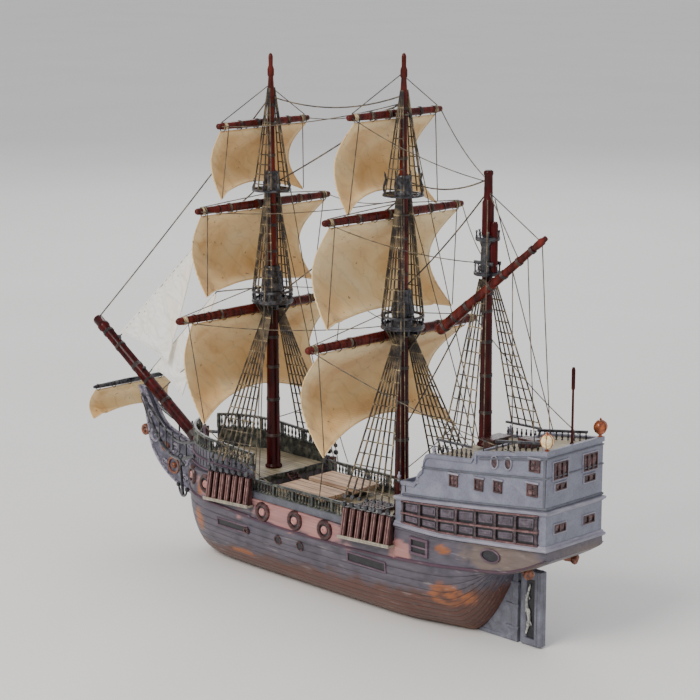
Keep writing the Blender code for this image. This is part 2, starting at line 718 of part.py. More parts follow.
def make_chainplates(name, side, front, aft, low_z):
    """A channel board with seven upright plates under a cap rail."""
    cuts = comb_cuts(front, aft, 7, (aft - front) / 11)
    heights = [low_z, low_z + 2.6, low_z + 24, low_z + 27]
    depths = [0.0, 3.0, 7.0]

    def place(x, out, z):
        lean = -1.5 * (z - low_z) / 27 if out > 1 else 0.0
        return (x, side * (half_beam(x) + GAP + out + lean), z + 0.06 * (x - front))

    cell_solid(name, "channel_wood", (cuts, depths, heights),
               lambda i, j, k: k == 0 or (j == 1 and (k == 2 or i % 2 == 0)), place)


def make_shrouds(name, side, feet, foot_z, foot_y, head, head_half, shrouds=4, ratlines=5):
    """A fan of shrouds laced by ratlines, from the channel up to the top."""
    rope = 0.09
    cuts = comb_cuts(0.0, 1.0, shrouds, rope)
    heights = comb_cuts(0.0, 1.0, ratlines, 0.014)
    head_x, head_z, head_y = head

    def place(s, depth, t):
        x = blend(blend(feet[0], feet[1], s), blend(head_x - head_half, head_x + head_half, s), t)
        y = blend(foot_y, head_y, t) - depth
        return (x, side * y, blend(foot_z, head_z, t))

    cell_solid(name, "rigging_cord", (cuts, [0.0, 1.2], heights),
               lambda i, j, k: i % 2 == 0 or k % 2 == 0, place)


def make_rudder():
    """Rudder blade with a round leading edge on its hinge line."""
    pivot = add_empty("rudder_pivot", (RUDDER_AXIS_X, 0, RUDDER_LOW_Z), ship_frame)
    nose_angles = [math.radians(a) for a in range(90, 271, 30)]
    nose = [(RUDDER_HALF * math.cos(a), RUDDER_HALF * math.sin(a)) for a in nose_angles]
    chord = RUDDER_AFT_X - RUDDER_AXIS_X
    outline = nose + [(chord, -RUDDER_HALF), (chord, RUDDER_HALF)]
    height = RUDDER_TOP_Z - RUDDER_LOW_Z
    add_part("rudder", filled_outline("rudder", outline, height), "keel_paint", pivot,
             (RUDDER_AXIS_X, 0, RUDDER_LOW_Z + height / 2))


# ---------------------------------------------------------------- assembly

reset_scene()
ship_parts = new_collection("model_sailing_ship")
ship_cutters = new_collection("cutters")
ship_frame = add_empty("ship_frame", (MIDSHIP_OFFSET, 0, 0))
bowsprit_cutter = make_bowsprit_cutter()

make_hull()
make_deadwood()
make_decks()
make_stern()
make_flagstaff()
make_beakhead()
make_figurehead()
spar_between("bowsprit", "spar_wood", BOWSPRIT_HEEL, BOWSPRIT_TIP, BOWSPRIT_R)
make_masts()
make_mizzen()
for rig_name in SQUARE_SAILS:
    make_square_rig(rig_name)
make_lateen()
make_spritsail()
make_jib("outer_jib", (-355.5, 170.0), (-281.5, 154.8), (-247.0, 265.0), -3.0, -7.0)
make_jib("inner_jib", (-310.6, 143.6), (-270.8, 126.5), (-222.0, 226.0), -2.0, 0.0)
make_rudder()
for side_name, side_sign in SIDES:
    make_waist_rail(side_name, side_sign)
    make_forecastle_wall(side_name, side_sign)
    make_gallery(side_name, side_sign)
    make_lantern(side_name, side_sign)
    make_chainplates("fore_channel_" + side_name, side_sign, -180.0, -128.0, 60.0)
    make_chainplates("main_channel_" + side_name, side_sign, -17.0, 36.0, 62.0)
    make_shrouds("fore_shrouds_" + side_name, side_sign, (-176, -130), 92.0, 51.5,
                 (FORE_X, TOP_Z - 1.5, 9.0), 3.5)
    make_shrouds("main_shrouds_" + side_name, side_sign, (-12, 34), 93.0, 51.5,
                 (MAIN_X, TOP_Z - 1.5, 9.0), 3.5)
    make_shrouds("mizzen_shrouds_" + side_name, side_sign, (84, 112), 152.5, 40.0,
                 (MIZZEN_X, MIZZEN_TOP_Z - 1.5, 12.0), 2.5)
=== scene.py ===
"""The looks of the model sailing ship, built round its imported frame.

Places are in ship millimetres: X = 0 at the main mast with the bow at negative X, port at negative Y,
and Z up from the flat of the bottom.  metres() turns them into the frame's own coordinates.
"""

import math

import bmesh
import bpy
from mathutils import Matrix, Vector, noise


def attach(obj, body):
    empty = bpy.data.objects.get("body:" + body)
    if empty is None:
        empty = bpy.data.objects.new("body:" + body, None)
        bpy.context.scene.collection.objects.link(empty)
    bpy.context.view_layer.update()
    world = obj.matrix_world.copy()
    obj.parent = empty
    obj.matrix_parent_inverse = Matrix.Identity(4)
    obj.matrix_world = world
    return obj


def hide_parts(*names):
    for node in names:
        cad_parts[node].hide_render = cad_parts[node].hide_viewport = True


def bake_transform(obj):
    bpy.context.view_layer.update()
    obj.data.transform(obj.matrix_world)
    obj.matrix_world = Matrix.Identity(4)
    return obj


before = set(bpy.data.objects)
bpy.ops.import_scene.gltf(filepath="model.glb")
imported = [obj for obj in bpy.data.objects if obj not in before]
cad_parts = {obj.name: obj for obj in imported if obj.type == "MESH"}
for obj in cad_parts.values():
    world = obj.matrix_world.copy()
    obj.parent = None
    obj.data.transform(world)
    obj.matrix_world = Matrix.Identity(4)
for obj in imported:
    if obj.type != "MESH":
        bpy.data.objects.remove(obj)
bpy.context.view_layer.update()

MM = 0.001
MIDSHIP_OFFSET = 104.6      # from the main mast to the middle of the overall length
PORT, STARBOARD = -1, 1
SIDES = (("port", PORT), ("starboard", STARBOARD))

# Hull form
STEM_X, TRANSOM_X = -240.0, 180.5
BOW_START_X, RUN_START_X, STERNPOST_X = -180.0, 84.0, 128.5
BEAM_HALF, TRANSOM_HALF, STEM_HALF = 46.0, 32.5, 1.2
NARROWING_START_X = 60.0
FLAT_HALF, DEADWOOD_HALF = 14.0, 3.0
FLAT_FORE_X, FLAT_FORE_LENGTH = -150.0, 92.0     # where the flat bottom starts to narrow forward
FLAT_AFT_X, FLAT_AFT_LENGTH = 20.0, 72.0         # and where it starts to narrow aft
COUNTER_Z, COUNTER_RISE = 62.0, 20.0
BOW_LIFT_X, BOW_LIFT = -205.0, 25.0
RUN_CURVE = 1.6
HOLLOW_START_X, RUN_HOLLOW = 40.0, 2.3
WALE_Z, WALE_LOW_X, WALE_CURVE = 51.5, -75.0, 0.0003
WAIST_Z, FORECASTLE_Z = 70.0, 80.0
CASTLE_DECK_Z, CASTLE_DECK_RISE = 83.0, 6.5
GALLERY_START_X, GALLERY_TOP_Z = 47.0, 108.0
FORECASTLE_AFT_X, CASTLE_FRONT_X = -130.0, 38.0
QUARTER_TOP_Z = 149.5
POOP_FRONT_X, POOP_TOP_Z, POOP_SLOPE = 117.0, 156.0, 0.15
CASTLE_SLOPE = 0.0925
# the castle's side steps up from the waist to the poop: along, and up
CASTLE_STEPS = ((40, 119.5), (58, 120.6), (60, 123), (62, 128.5), (64, 131), (66.5, 133), (68, 141),
                (70, 145), (73, 146.5), (113, 149.4), (117, 156.0))
CASTLE_AFT_X = 179.0        # the castle's flat after wall

# Masts and spars
FORE_X, MAIN_X, MIZZEN_X = -151.0, 0.8, 89.5
TOP_Z = 226.0
FORE_FOOT_Z, MAIN_FOOT_Z = 84.6, 72.6
FORE_CROSSTREE_Z, MAIN_CROSSTREE_Z = 320.0, 331.0
FORE_TRUCK_Z, MAIN_TRUCK_Z = 433.5, 441.8
MIZZEN_TOP_Z = 280.0
YARD_OFFSET = 9.0
# name: (mast x, yard z, yard half, head half, clew half, clew z, clew x offset,
#        leech bulge, belly, foot arch)
SQUARE_SAILS = {
    "fore_course": (FORE_X, 222.0, 97.0, 80.0, 72.0, 133.0, -6.0, 23.0, 12.0, 22.0),
    "fore_topsail": (FORE_X, 309.5, 75.0, 69.0, 60.0, 237.0, -14.0, 20.0, 8.0, 8.0),
    "fore_topgallant": (FORE_X, 376.5, 51.0, 47.0, 45.4, 316.5, -11.0, 16.0, 6.0, 12.0),
    "main_course": (MAIN_X, 221.0, 96.0, 80.0, 75.0, 133.0, -12.0, 30.0, 7.0, 22.0),
    "main_topsail": (MAIN_X, 317.0, 78.0, 71.0, 70.0, 233.5, -13.0, 23.0, 8.0, 8.0),
    "main_topgallant": (MAIN_X, 395.0, 52.0, 44.0, 49.5, 320.0, -11.0, 22.0, 6.0, 16.0),
}
BOWSPRIT_HEEL, BOWSPRIT_TIP = (-222.0, 71.8), (-390.0, 178.8)
SPRITSAIL_X, SPRITSAIL_Z, SPRITSAIL_HALF = -334.0, 131.0, 49.0
LATEEN_LOW, LATEEN_HIGH, LATEEN_Y = (49.0, 233.0), (154.0, 317.0), -8.8
RUDDER_AXIS_X, RUDDER_AFT_X, RUDDER_LOW_Z, RUDDER_TOP_Z = 133.0, 151.0, 1.0, 60.5
LANTERN_X, LANTERN_Y, FLAGSTAFF_X = 177.4, 30.4, 175.5


# ---------------------------------------------------------------- small maths

def metres(point):
    x, y, z = point
    return Vector(((x + MIDSHIP_OFFSET) * MM, y * MM, z * MM))


def blend(a, b, t):
    return a + (b - a) * t


def smooth_step(low, high, value):
    t = min(1.0, max(0.0, (value - low) / (high - low)))
    return t * t * (3 - 2 * t)


def spread(low, high, count):
    """Evenly spaced values from low to high, both ends included."""
    return [blend(low, high, i / (count - 1)) for i in range(count)]


def srgb(red, green, blue):
    """A colour given as it looks on a screen, as the linear values that a shader takes."""
    def linear(value):
        value /= 255
        return value / 12.92 if value <= 0.04045 else ((value + 0.055) / 1.055) ** 2.4

    return (linear(red), linear(green), linear(blue))


# ---------------------------------------------------------------- shapes

class Shape:
    """Vertices and faces of one piece, gathered in ship millimetres."""

    def __init__(self):
        self.vertices = []
        self.faces = []

    def add(self, vertices, faces):
        start = len(self.vertices)
        self.vertices += [tuple(v) for v in vertices]
        self.faces += [tuple(start + i for i in face) for face in faces]

    def loft(self, rings, capped=True, looped=False):
        """Skin over rings of equally many points; looped joins the last ring to the first."""
        count = len(rings[0])
        vertices = [point for ring in rings for point in ring]
        faces = []
        for a in range(len(rings) if looped else len(rings) - 1):
            b = (a + 1) % len(rings)
            for i in range(count):
                j = (i + 1) % count
                faces.append((a * count + i, a * count + j, b * count + j, b * count + i))
        if capped and not looped:
            faces.append(tuple(range(count))[::-1])
            faces.append(tuple((len(rings) - 1) * count + i for i in range(count)))
        self.add(vertices, faces)

    def turned(self, profile, at, axis=(0, 0, 1), sides=24):
        """A solid of (radius, height) points spun about an axis through `at`."""
        across, up, along = axes_of(axis)
        rings = []
        for radius, height in profile:
            centre = Vector(at) + along * height
            rings.append([centre + max(radius, 0.02) * (across * math.cos(a) + up * math.sin(a))
                          for a in (2 * math.pi * i / sides for i in range(sides))])
        self.loft(rings)

    def ring(self, at, axis, radius, section):
        """A ring whose section is a closed outline of (out, height) points about its radius."""
        across, up, along = axes_of(axis)
        turns = 28
        rings = []
        for i in range(turns):
            angle = 2 * math.pi * i / turns
            outward = across * math.cos(angle) + up * math.sin(angle)
            rings.append([Vector(at) + outward * (radius + out) + along * height for out, height in section])
        self.loft(rings, looped=True)

    def rope(self, points, radius, sides=6):
        """A round rod or rope along points; radius is one number or one for each point."""
        points = [Vector(p) for p in points]
        radii = radius if hasattr(radius, "__len__") else [radius] * len(points)
        side = None
        rings = []
        for i, point in enumerate(points):
            ahead = (points[min(i + 1, len(points) - 1)] - points[max(i - 1, 0)]).normalized()
            if side is None:
                side = ahead.orthogonal().normalized()
            side = (side - ahead * side.dot(ahead)).normalized()
            other = ahead.cross(side)
            rings.append([point + radii[i] * (side * math.cos(a) + other * math.sin(a))
                          for a in (2 * math.pi * j / sides for j in range(sides))])
        self.loft(rings)

    def ball(self, centre, radius, sides=14, squeeze=1.0):
        angles = spread(-90, 90, sides // 2 + 1)
        profile = [(radius * math.cos(math.radians(a)), radius * squeeze * math.sin(math.radians(a)))
                   for a in angles]
        self.turned(profile, centre, sides=sides)

    def block(self, low, high, place=None):
        """A box between two corners, bent by place(x, y, z) when that is given."""
        place = place or (lambda x, y, z: (x, y, z))
        corners = [place(x, y, z) for x in (low[0], high[0]) for y in (low[1], high[1])
                   for z in (low[2], high[2])]
        sides = [(0, 1, 3, 2), (4, 6, 7, 5), (0, 4, 5, 1), (2, 3, 7, 6), (0, 2, 6, 4), (1, 5, 7, 3)]
        self.add(corners, sides)

    def plate(self, outline, near, far, place):
        """An outline of (a, b) points as a plate between two depths: place(a, b, depth)."""
        self.loft([[place(a, b, depth) for a, b in outline] for depth in (near, far)])

    def window_frame(self, outer, inner, near, far, place):
        """A frame between two matching outlines, from one depth to another."""
        section = ((inner, near), (inner, far), (outer, far), (outer, near))
        rings = [[place(*outline[i], depth) for outline, depth in section] for i in range(len(outer))]
        self.loft(rings, looped=True)

    def sweep(self, path, section, looped=False):
        """A section of (out, up) points run along a level path, with square mitres; out is to the
        right of the way the path runs."""
        count = len(path)
        rings = []
        for i, point in enumerate(path):
            back = Vector(path[i - 1 if looped else max(i - 1, 0)])
            ahead = Vector(path[(i + 1) % count if looped else min(i + 1, count - 1)])
            here = Vector(point)
            first = (here - back).to_2d()
            second = (ahead - here).to_2d()
            first = (first if first.length > 1e-6 else second).normalized()
            second = (second if second.length > 1e-6 else first).normalized()
            mean = (first + second).normalized()
            stretch = 1 / max(0.5, mean.dot(first))
            right = Vector((mean.y, -mean.x, 0)) * stretch
            rings.append([here + right * out + Vector((0, 0, up)) for out, up in section])
        self.loft(rings, looped=looped)

    def make(self, name, material, body="ship", slot=None, replaces=(), bevel=0.0, flat_from=35):
        """The finished piece, riding on its body."""
        mesh = bpy.data.meshes.new(name)
        mesh.from_pydata([metres(v) for v in self.vertices], [], self.faces)
        tidy = bmesh.new()
        tidy.from_mesh(mesh)
        bmesh.ops.recalc_face_normals(tidy, faces=tidy.faces)
        tidy.to_mesh(mesh)
        tidy.free()
        obj = bpy.data.objects.new(name, mesh)
        bpy.context.scene.collection.objects.link(obj)
        mesh.materials.append(material)
        mesh.shade_smooth()
        mesh.set_sharp_from_angle(angle=math.radians(flat_from))
        if bevel:
            add_bevel(obj, bevel)
        if body:
            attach(obj, body)
        if replaces:
            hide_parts(*replaces)
        return obj


def axes_of(axis):
    """Two directions across an axis, and the axis itself as a unit vector."""
    along = Vector(axis).normalized()
    across = Vector((1, 0, 0)) if abs(along.x) < 0.9 else Vector((0, 1, 0))
    across = (across - along * across.dot(along)).normalized()
    return across, along.cross(across), along


def add_bevel(obj, width):
    rounding = obj.modifiers.new("Bevel", "BEVEL")
    rounding.width = width * MM
    rounding.segments = 2
    rounding.limit_method = "ANGLE"
    rounding.angle_limit = math.radians(30)
    rounding.harden_normals = False


def ribbed(shape, stations, levels, port_point):
    """A solid lofted through ribs: port_point(x, level) gives the port side, mirrored to starboard."""
    rings = []
    for x in stations:
        port = [port_point(x, level) for level in levels]
        rings.append(port + [(px, -py, pz) for px, py, pz in reversed(port)])
    shape.loft(rings)


def curved(points, count):
    """Evenly spread points on a smooth curve through the given ones."""
    points = [Vector(p) for p in points]
    ends = [points[0] * 2 - points[1]] + points + [points[-1] * 2 - points[-2]]
    result = []
    for i in range(count):
        place = i / (count - 1) * (len(points) - 1)
        k = min(int(place), len(points) - 2)
        t = place - k
        a, b, c, d = ends[k:k + 4]
        result.append(0.5 * ((2 * b) + (c - a) * t + (2 * a - 5 * b + 4 * c - d) * t ** 2
                             + (3 * b - a - 3 * c + d) * t ** 3))
    return result


def sagging(start, end, sag, count=9):
    """A rope's line between two points, hanging by `sag` at its middle."""
    start, end = Vector(start), Vector(end)
    return [start.lerp(end, t) - Vector((0, 0, 4 * sag * t * (1 - t))) for t in spread(0, 1, count)]


# ---------------------------------------------------------------- hull form

def half_beam(x):
    if x < BOW_START_X:
        reach = min(1.0, (BOW_START_X - x) / (BOW_START_X - STEM_X))
        return max(STEM_HALF, BEAM_HALF * math.sqrt(1 - reach ** 2))
    narrowing = max(0.0, (x - NARROWING_START_X) / (TRANSOM_X - NARROWING_START_X))
    return BEAM_HALF - (BEAM_HALF - TRANSOM_HALF) * narrowing ** 1.5


def bottom_z(x):
    if x < BOW_LIFT_X:
        return BOW_LIFT * ((BOW_LIFT_X - x) / (BOW_LIFT_X - STEM_X)) ** 2
    if x < RUN_START_X:
        return 0.0
    if x < STERNPOST_X:
        return COUNTER_Z * ((x - RUN_START_X) / (STERNPOST_X - RUN_START_X)) ** RUN_CURVE
    return COUNTER_Z + COUNTER_RISE * ((x - STERNPOST_X) / (TRANSOM_X - STERNPOST_X)) ** 1.8


def wale_z(x):
    return max(WALE_Z + WALE_CURVE * (x - WALE_LOW_X) ** 2, bottom_z(x) + 2.0)


def flat_half(x):
    narrow_half = DEADWOOD_HALF + 0.4
    if x < FLAT_FORE_X:
        return max(STEM_HALF * 0.8, FLAT_HALF * (1 - ((FLAT_FORE_X - x) / FLAT_FORE_LENGTH) ** 2))
    if x < FLAT_AFT_X:
        return FLAT_HALF
    if x < STERNPOST_X:
        return blend(FLAT_HALF, narrow_half, min(1.0, (x - FLAT_AFT_X) / FLAT_AFT_LENGTH))
    widening = (x - STERNPOST_X) / (TRANSOM_X - STERNPOST_X)
    return blend(narrow_half, TRANSOM_HALF * 0.8, widening ** 0.8)


def hollow(x):
    """How much a section narrows low down: 1 is round, and more is hollower."""
    rise = (x - HOLLOW_START_X) / (STERNPOST_X - HOLLOW_START_X)
    fall = (TRANSOM_X - x) / (TRANSOM_X - STERNPOST_X)
    return 1.0 + (RUN_HOLLOW - 1.0) * max(0.0, min(rise, fall))


def section_width(x, angle):
    """Half-width of the side below the wale, from the bottom (0) round to the wale (a right angle)."""
    return blend(flat_half(x), half_beam(x), math.sin(angle) ** hollow(x))


def deck_edge_z(x):
    if x <= FORECASTLE_AFT_X:
        return FORECASTLE_Z
    if x < CASTLE_FRONT_X:
        return WAIST_Z
    rise = max(0.0, (x - RUN_START_X) / (TRANSOM_X - RUN_START_X))
    return CASTLE_DECK_Z + CASTLE_DECK_RISE * rise


def hull_point(x, step):
    """A point of the port side: level 0 is the bottom, 1 the wale, 2 the deck edge."""
    level, outset = step
    low, wale, top = bottom_z(x), wale_z(x), deck_edge_z(x)
    if level <= 1.0:
        angle = math.asin(level)
        width = section_width(x, angle)
        z = low + (wale - low) * (1 - math.cos(angle))
        return (x, -max(width + outset * level, 0.9), z - outset * math.cos(angle))
    return (x, -max(half_beam(x) - (level - 1.0) + outset, 0.9), blend(wale, top, level - 1.0))


def bow_plan(s, depth):
    """Plan of the forecastle's side: s = 0 at its aft end, 1 beside the stem."""
    straight = 0.36
    if s <= straight:
        x = blend(FORECASTLE_AFT_X - 0.3, BOW_START_X, s / straight)
        return x, BEAM_HALF - depth
    angle = math.radians(blend(90, 13, (s - straight) / (1 - straight)))
    reach = BOW_START_X - STEM_X - depth
    return BOW_START_X - reach * math.cos(angle), (BEAM_HALF - depth) * math.sin(angle)


def gallery_low_z(x):
    return deck_edge_z(x) + 0.3


def gallery_top_z(x):
    return GALLERY_TOP_Z + CASTLE_SLOPE * (x - GALLERY_START_X)


def castle_top_z(x):
    """Top of the castle's side."""
    if x >= POOP_FRONT_X:
        return POOP_TOP_Z + POOP_SLOPE * (x - POOP_FRONT_X)
    for (x0, z0), (x1, z1) in zip(CASTLE_STEPS, CASTLE_STEPS[1:]):
        if x <= x1:
            return blend(z0, z1, (x - x0) / (x1 - x0))


def castle_wall(side):
    """Places a point on the castle's side: along, up, and out from the wall."""
    return lambda along, up, out: (along, side * (half_beam(along) - 0.6 + out), up)


def after_wall(across, up, out):
    return (CASTLE_AFT_X + out, across, up)


def round_castle(front, height, outset=0.0, pitch=6.0):
    """A path from the port side's front, round the transom, to the starboard side's front."""
    count = int((CASTLE_AFT_X - front) / pitch) + 2
    xs = spread(front, CASTLE_AFT_X + outset, count)
    port = [(x, -(half_beam(min(x, CASTLE_AFT_X)) - 0.6 + outset), height(min(x, CASTLE_AFT_X))) for x in xs]
    return port + [(x, -y, z) for x, y, z in reversed(port)]


# ---------------------------------------------------------------- materials

class Finish:
    """A Principled material whose colour, roughness and bump come from procedural nodes."""

    def __init__(self, name, **uniform):
        self.material = bpy.data.materials.new(name)
        self.material.use_nodes = True
        self.tree = self.material.node_tree
        self.shader = self.tree.nodes["Principled BSDF"]
        for socket, value in uniform.items():
            self.shader.inputs[socket.replace("_", " ")].default_value = value
        self.place = self.tree.nodes.new("ShaderNodeTexCoord").outputs["Object"]

    def link(self, value, socket):
        if hasattr(value, "is_output"):
            self.tree.links.new(value, socket)
        elif hasattr(value, "__len__") and len(value) == 3 and socket.type == "RGBA":
            socket.default_value = (*value, 1.0)
        else:
            socket.default_value = value

    def noise(self, size, stretch=(1, 1, 1), detail=4.0, distortion=0.0):
        """Noise whose patches are about `size` millimetres, drawn out along the axes by stretch."""
        mapping = self.tree.nodes.new("ShaderNodeMapping")
        mapping.inputs["Scale"].default_value = [1 / s for s in stretch]
        self.tree.links.new(self.place, mapping.inputs["Vector"])
        node = self.tree.nodes.new("ShaderNodeTexNoise")
        node.inputs["Scale"].default_value = 1000 / size
        node.inputs["Detail"].default_value = detail
        node.inputs["Distortion"].default_value = distortion
        self.tree.links.new(mapping.outputs["Vector"], node.inputs["Vector"])
        return node.outputs["Fac"]

    def waves(self, size, direction, distortion=0.0, turn=(0, 0, 0)):
        """Parallel bands `size` millimetres apart across an axis."""
        mapping = self.tree.nodes.new("ShaderNodeMapping")
        mapping.inputs["Rotation"].default_value = turn
        self.tree.links.new(self.place, mapping.inputs["Vector"])
        node = self.tree.nodes.new("ShaderNodeTexWave")
        node.bands_direction = direction
        node.inputs["Scale"].default_value = 1000 / size / (20 / (2 * math.pi))
        node.inputs["Distortion"].default_value = distortion
        node.inputs["Detail Scale"].default_value = 2.0
        self.tree.links.new(mapping.outputs["Vector"], node.inputs["Vector"])
        return node.outputs["Fac"]

    def attribute(self, name, output="Color"):
        node = self.tree.nodes.new("ShaderNodeAttribute")
        node.attribute_name = name
        return node.outputs[output]

    def ramp(self, value, *stops):
        """Colours between stops of (position, colour), where a grey may be one number."""
        node = self.tree.nodes.new("ShaderNodeValToRGB")
        elements = node.color_ramp.elements
        while len(elements) < len(stops):
            elements.new(0.5)
        for element, (position, colour) in zip(elements, stops):
            element.position = position
            element.color = (*colour, 1) if hasattr(colour, "__len__") else (colour, colour, colour, 1)
        self.tree.links.new(value, node.inputs["Fac"])
        return node.outputs["Color"]

    def mix(self, first, second, amount, mode="MIX"):
        node = self.tree.nodes.new("ShaderNodeMix")
        node.data_type = "RGBA"
        node.blend_type = mode
        self.link(amount, node.inputs[0])
        self.link(first, node.inputs[6])
        self.link(second, node.inputs[7])
        return node.outputs[2]

    def maths(self, operation, first, second=0.0):
        node = self.tree.nodes.new("ShaderNodeMath")
        node.operation = operation
        self.link(first, node.inputs[0])
        self.link(second, node.inputs[1])
        return node.outputs[0]

    def colour(self, value):
        self.link(value, self.shader.inputs["Base Color"])
        return self

    def roughness(self, value, smooth, rough):
        self.link(self.ramp(value, (0.25, smooth), (0.75, rough)), self.shader.inputs["Roughness"])
        return self

    def bump(self, height, depth, strength=0.6):
        """Bump of a height field that is `depth` millimetres deep."""
        node = self.tree.nodes.new("ShaderNodeBump")
        node.inputs["Strength"].default_value = strength
        node.inputs["Distance"].default_value = depth * MM
        self.tree.links.new(height, node.inputs["Height"])
        self.tree.links.new(node.outputs["Normal"], self.shader.inputs["Normal"])
        return self


def mottled_paint(name, dark, middle, light, smooth=0.35, rough=0.6, grain=(1, 1, 1), size=9.0):
    """Brushed paint: broad patches of three shades, with fine speckle and worn gloss; in the rail and top
    paints the lightest shade is a painted highlight.
    """
    finish = Finish(name, Coat_Weight=0.12, Coat_Roughness=0.3)
    broad = finish.noise(size, grain, detail=6, distortion=0.6)
    fine = finish.noise(1.6, grain, detail=3)
    patches = finish.ramp(broad, (0.2, dark), (0.5, middle), (0.8, light))
    speckle = finish.ramp(fine, (0.3, 0.72), (0.5, 1.0), (0.72, 1.12))
    finish.colour(finish.mix(patches, speckle, 0.6, "MULTIPLY"))
    finish.roughness(broad, smooth, rough)
    finish.bump(finish.maths("ADD", fine, finish.noise(4.0, grain)), 0.12)
    return finish.material


def hull_paint():
    """Painted planking: the coat's own colours come from the hull's painted attribute."""
    finish = Finish("hull_planks", Coat_Weight=0.15, Coat_Roughness=0.35)
    coat = finish.attribute("coat")
    grain = finish.noise(3.0, (14, 1, 1), detail=6, distortion=0.4)
    streaks = finish.ramp(grain, (0.28, 0.5), (0.5, 1.0), (0.75, 1.35))
    clouds = finish.noise(22, (2, 1, 1), detail=5)
    cloudy = finish.ramp(clouds, (0.3, srgb(196, 186, 206)), (0.7, srgb(255, 250, 244)))
    worn = finish.ramp(finish.noise(2.6, (9, 1, 1), detail=3), (0.62, 0.0), (0.78, 0.32))
    shaded = finish.mix(finish.mix(coat, streaks, 0.65, "MULTIPLY"), cloudy, 0.45, "MULTIPLY")
    finish.colour(finish.mix(shaded, srgb(196, 186, 182), worn))
    finish.roughness(grain, 0.38, 0.62)
    finish.bump(grain, 0.22)
    return finish.material


def varnished_wood(name, dark, light, smooth=0.16, rough=0.36):
    """Red-brown varnished spars, with grain along whichever way the light streaks run."""
    finish = Finish(name, Coat_Weight=0.1, Coat_Roughness=0.08, Specular_IOR_Level=0.12)
    grain = finish.noise(2.2, (1.5, 1.5, 9), detail=6, distortion=0.5)
    blotch = finish.noise(16, (1, 1, 2), detail=3)
    wood = finish.ramp(grain, (0.28, dark), (0.72, light))
    finish.colour(finish.mix(wood, finish.ramp(blotch, (0.35, 0.55), (0.7, 1.25)), 0.7, "MULTIPLY"))
    finish.roughness(blotch, smooth, rough)
    finish.bump(grain, 0.1, 0.4)
    return finish.material


def deck_wood(name, dark, light, plank=4.2):
    """Pale deck boards with dark seams between planks, grain along the ship."""
    finish = Finish(name)
    grain = finish.noise(1.8, (16, 1, 1), detail=6, distortion=0.3)
    stain = finish.noise(17, (1.5, 1, 1), detail=5)
    boards = finish.ramp(grain, (0.25, dark), (0.7, light))
    stained = finish.mix(boards, finish.ramp(stain, (0.3, 0.62), (0.65, 1.1)), 0.75, "MULTIPLY")
    seams = finish.waves(plank, "Y")
    finish.colour(finish.mix(stained, finish.ramp(seams, (0.0, 0.25), (0.07, 1.0)), 0.85, "MULTIPLY"))
    finish.roughness(grain, 0.5, 0.75)
    finish.bump(finish.maths("ADD", grain, seams), 0.15)
    return finish.material


def cast_metal(name, dark, light, metallic, smooth, rough, size=3.0):
    """Brass or glossy cast trim, darker in its hollows."""
    finish = Finish(name, Metallic=metallic, Coat_Weight=0.3, Coat_Roughness=0.15)
    patches = finish.noise(size, detail=5, distortion=0.8)
    finish.colour(finish.ramp(patches, (0.3, dark), (0.65, light)))
    finish.roughness(patches, smooth, rough)
    finish.bump(patches, 0.15, 0.5)
    return finish.material


def sail_cloth(name, shade, middle, light, speck):
    """Woven sailcloth, darker and warmer towards two of its corners, paler along its edges, with brown
    specks, and thin dark lines of painted shade in its creases.
    """
    finish = Finish(name, Sheen_Weight=0.25, Sheen_Roughness=0.5, Specular_IOR_Level=0.25)
    clouds = finish.noise(46, detail=5, distortion=0.8)
    cloth = finish.ramp(clouds, (0.3, shade), (0.52, middle), (0.75, light))
    edge = finish.attribute("edge", "Fac")
    cloth = finish.mix(cloth, light, finish.maths("MULTIPLY", edge, 0.65))
    corner = finish.attribute("corner", "Fac")
    cloth = finish.mix(cloth, shade, finish.maths("MULTIPLY", corner, 0.8))
    specks = finish.ramp(finish.noise(5.0, detail=5), (0.67, 0.0), (0.72, 1.0))
    cloth = finish.mix(cloth, speck, finish.maths("MULTIPLY", specks, 0.7))
    wrinkles = finish.noise(30, (1, 2.2, 1), detail=3, distortion=1.8)
    # thin dark lines across the cloth: painted shade in its creases
    lines = finish.ramp(finish.waves(9.0, "DIAGONAL", 5.0), (0.0, 0.87), (0.12, 1.0))
    cloth = finish.mix(cloth, lines, 0.8, "MULTIPLY")
    warp = finish.waves(0.9, "Z", 0.4)
    weft = finish.waves(0.9, "Y", 0.4)
    weave = finish.maths("ADD", warp, weft)
    threads = finish.ramp(finish.maths("MULTIPLY", weave, 0.5), (0.1, 0.86), (0.8, 1.04))
    finish.colour(finish.mix(cloth, threads, 0.8, "MULTIPLY"))
    finish.roughness(clouds, 0.72, 0.9)
    folds = finish.maths("MULTIPLY", finish.noise(11, (1, 1, 2), detail=4, distortion=1.5), 4.0)
    folds = finish.maths("ADD", folds, finish.maths("MULTIPLY", wrinkles, 7.0))
    finish.bump(finish.maths("ADD", weave, folds), 0.2, 0.5)
    return finish.material


def twisted_cord(name, dark, light, smooth=0.3):
    """Tarred cord with painted highlights: pale patches along it, and light and dark bands across its twist.
    """
    finish = Finish(name, Coat_Weight=0.2, Coat_Roughness=0.3)
    twist = finish.waves(1.1, "DIAGONAL", 1.5)
    patches = finish.noise(7, detail=4)
    lit = finish.ramp(patches, (0.42, dark), (0.68, light))
    finish.colour(finish.mix(lit, finish.ramp(twist, (0.0, 0.55), (0.8, 1.25)), 0.7, "MULTIPLY"))
    finish.roughness(patches, smooth, 0.6)
    finish.bump(twist, 0.15, 0.7)
    return finish.material


def shades(*colours):
    """Screen colours, darkest first, as linear ones."""
    return [srgb(*colour) for colour in colours]


def plain_paint(name, dark, middle, light, size=5, **finish):
    return mottled_paint(name, *shades(dark, middle, light), size=size, **finish)


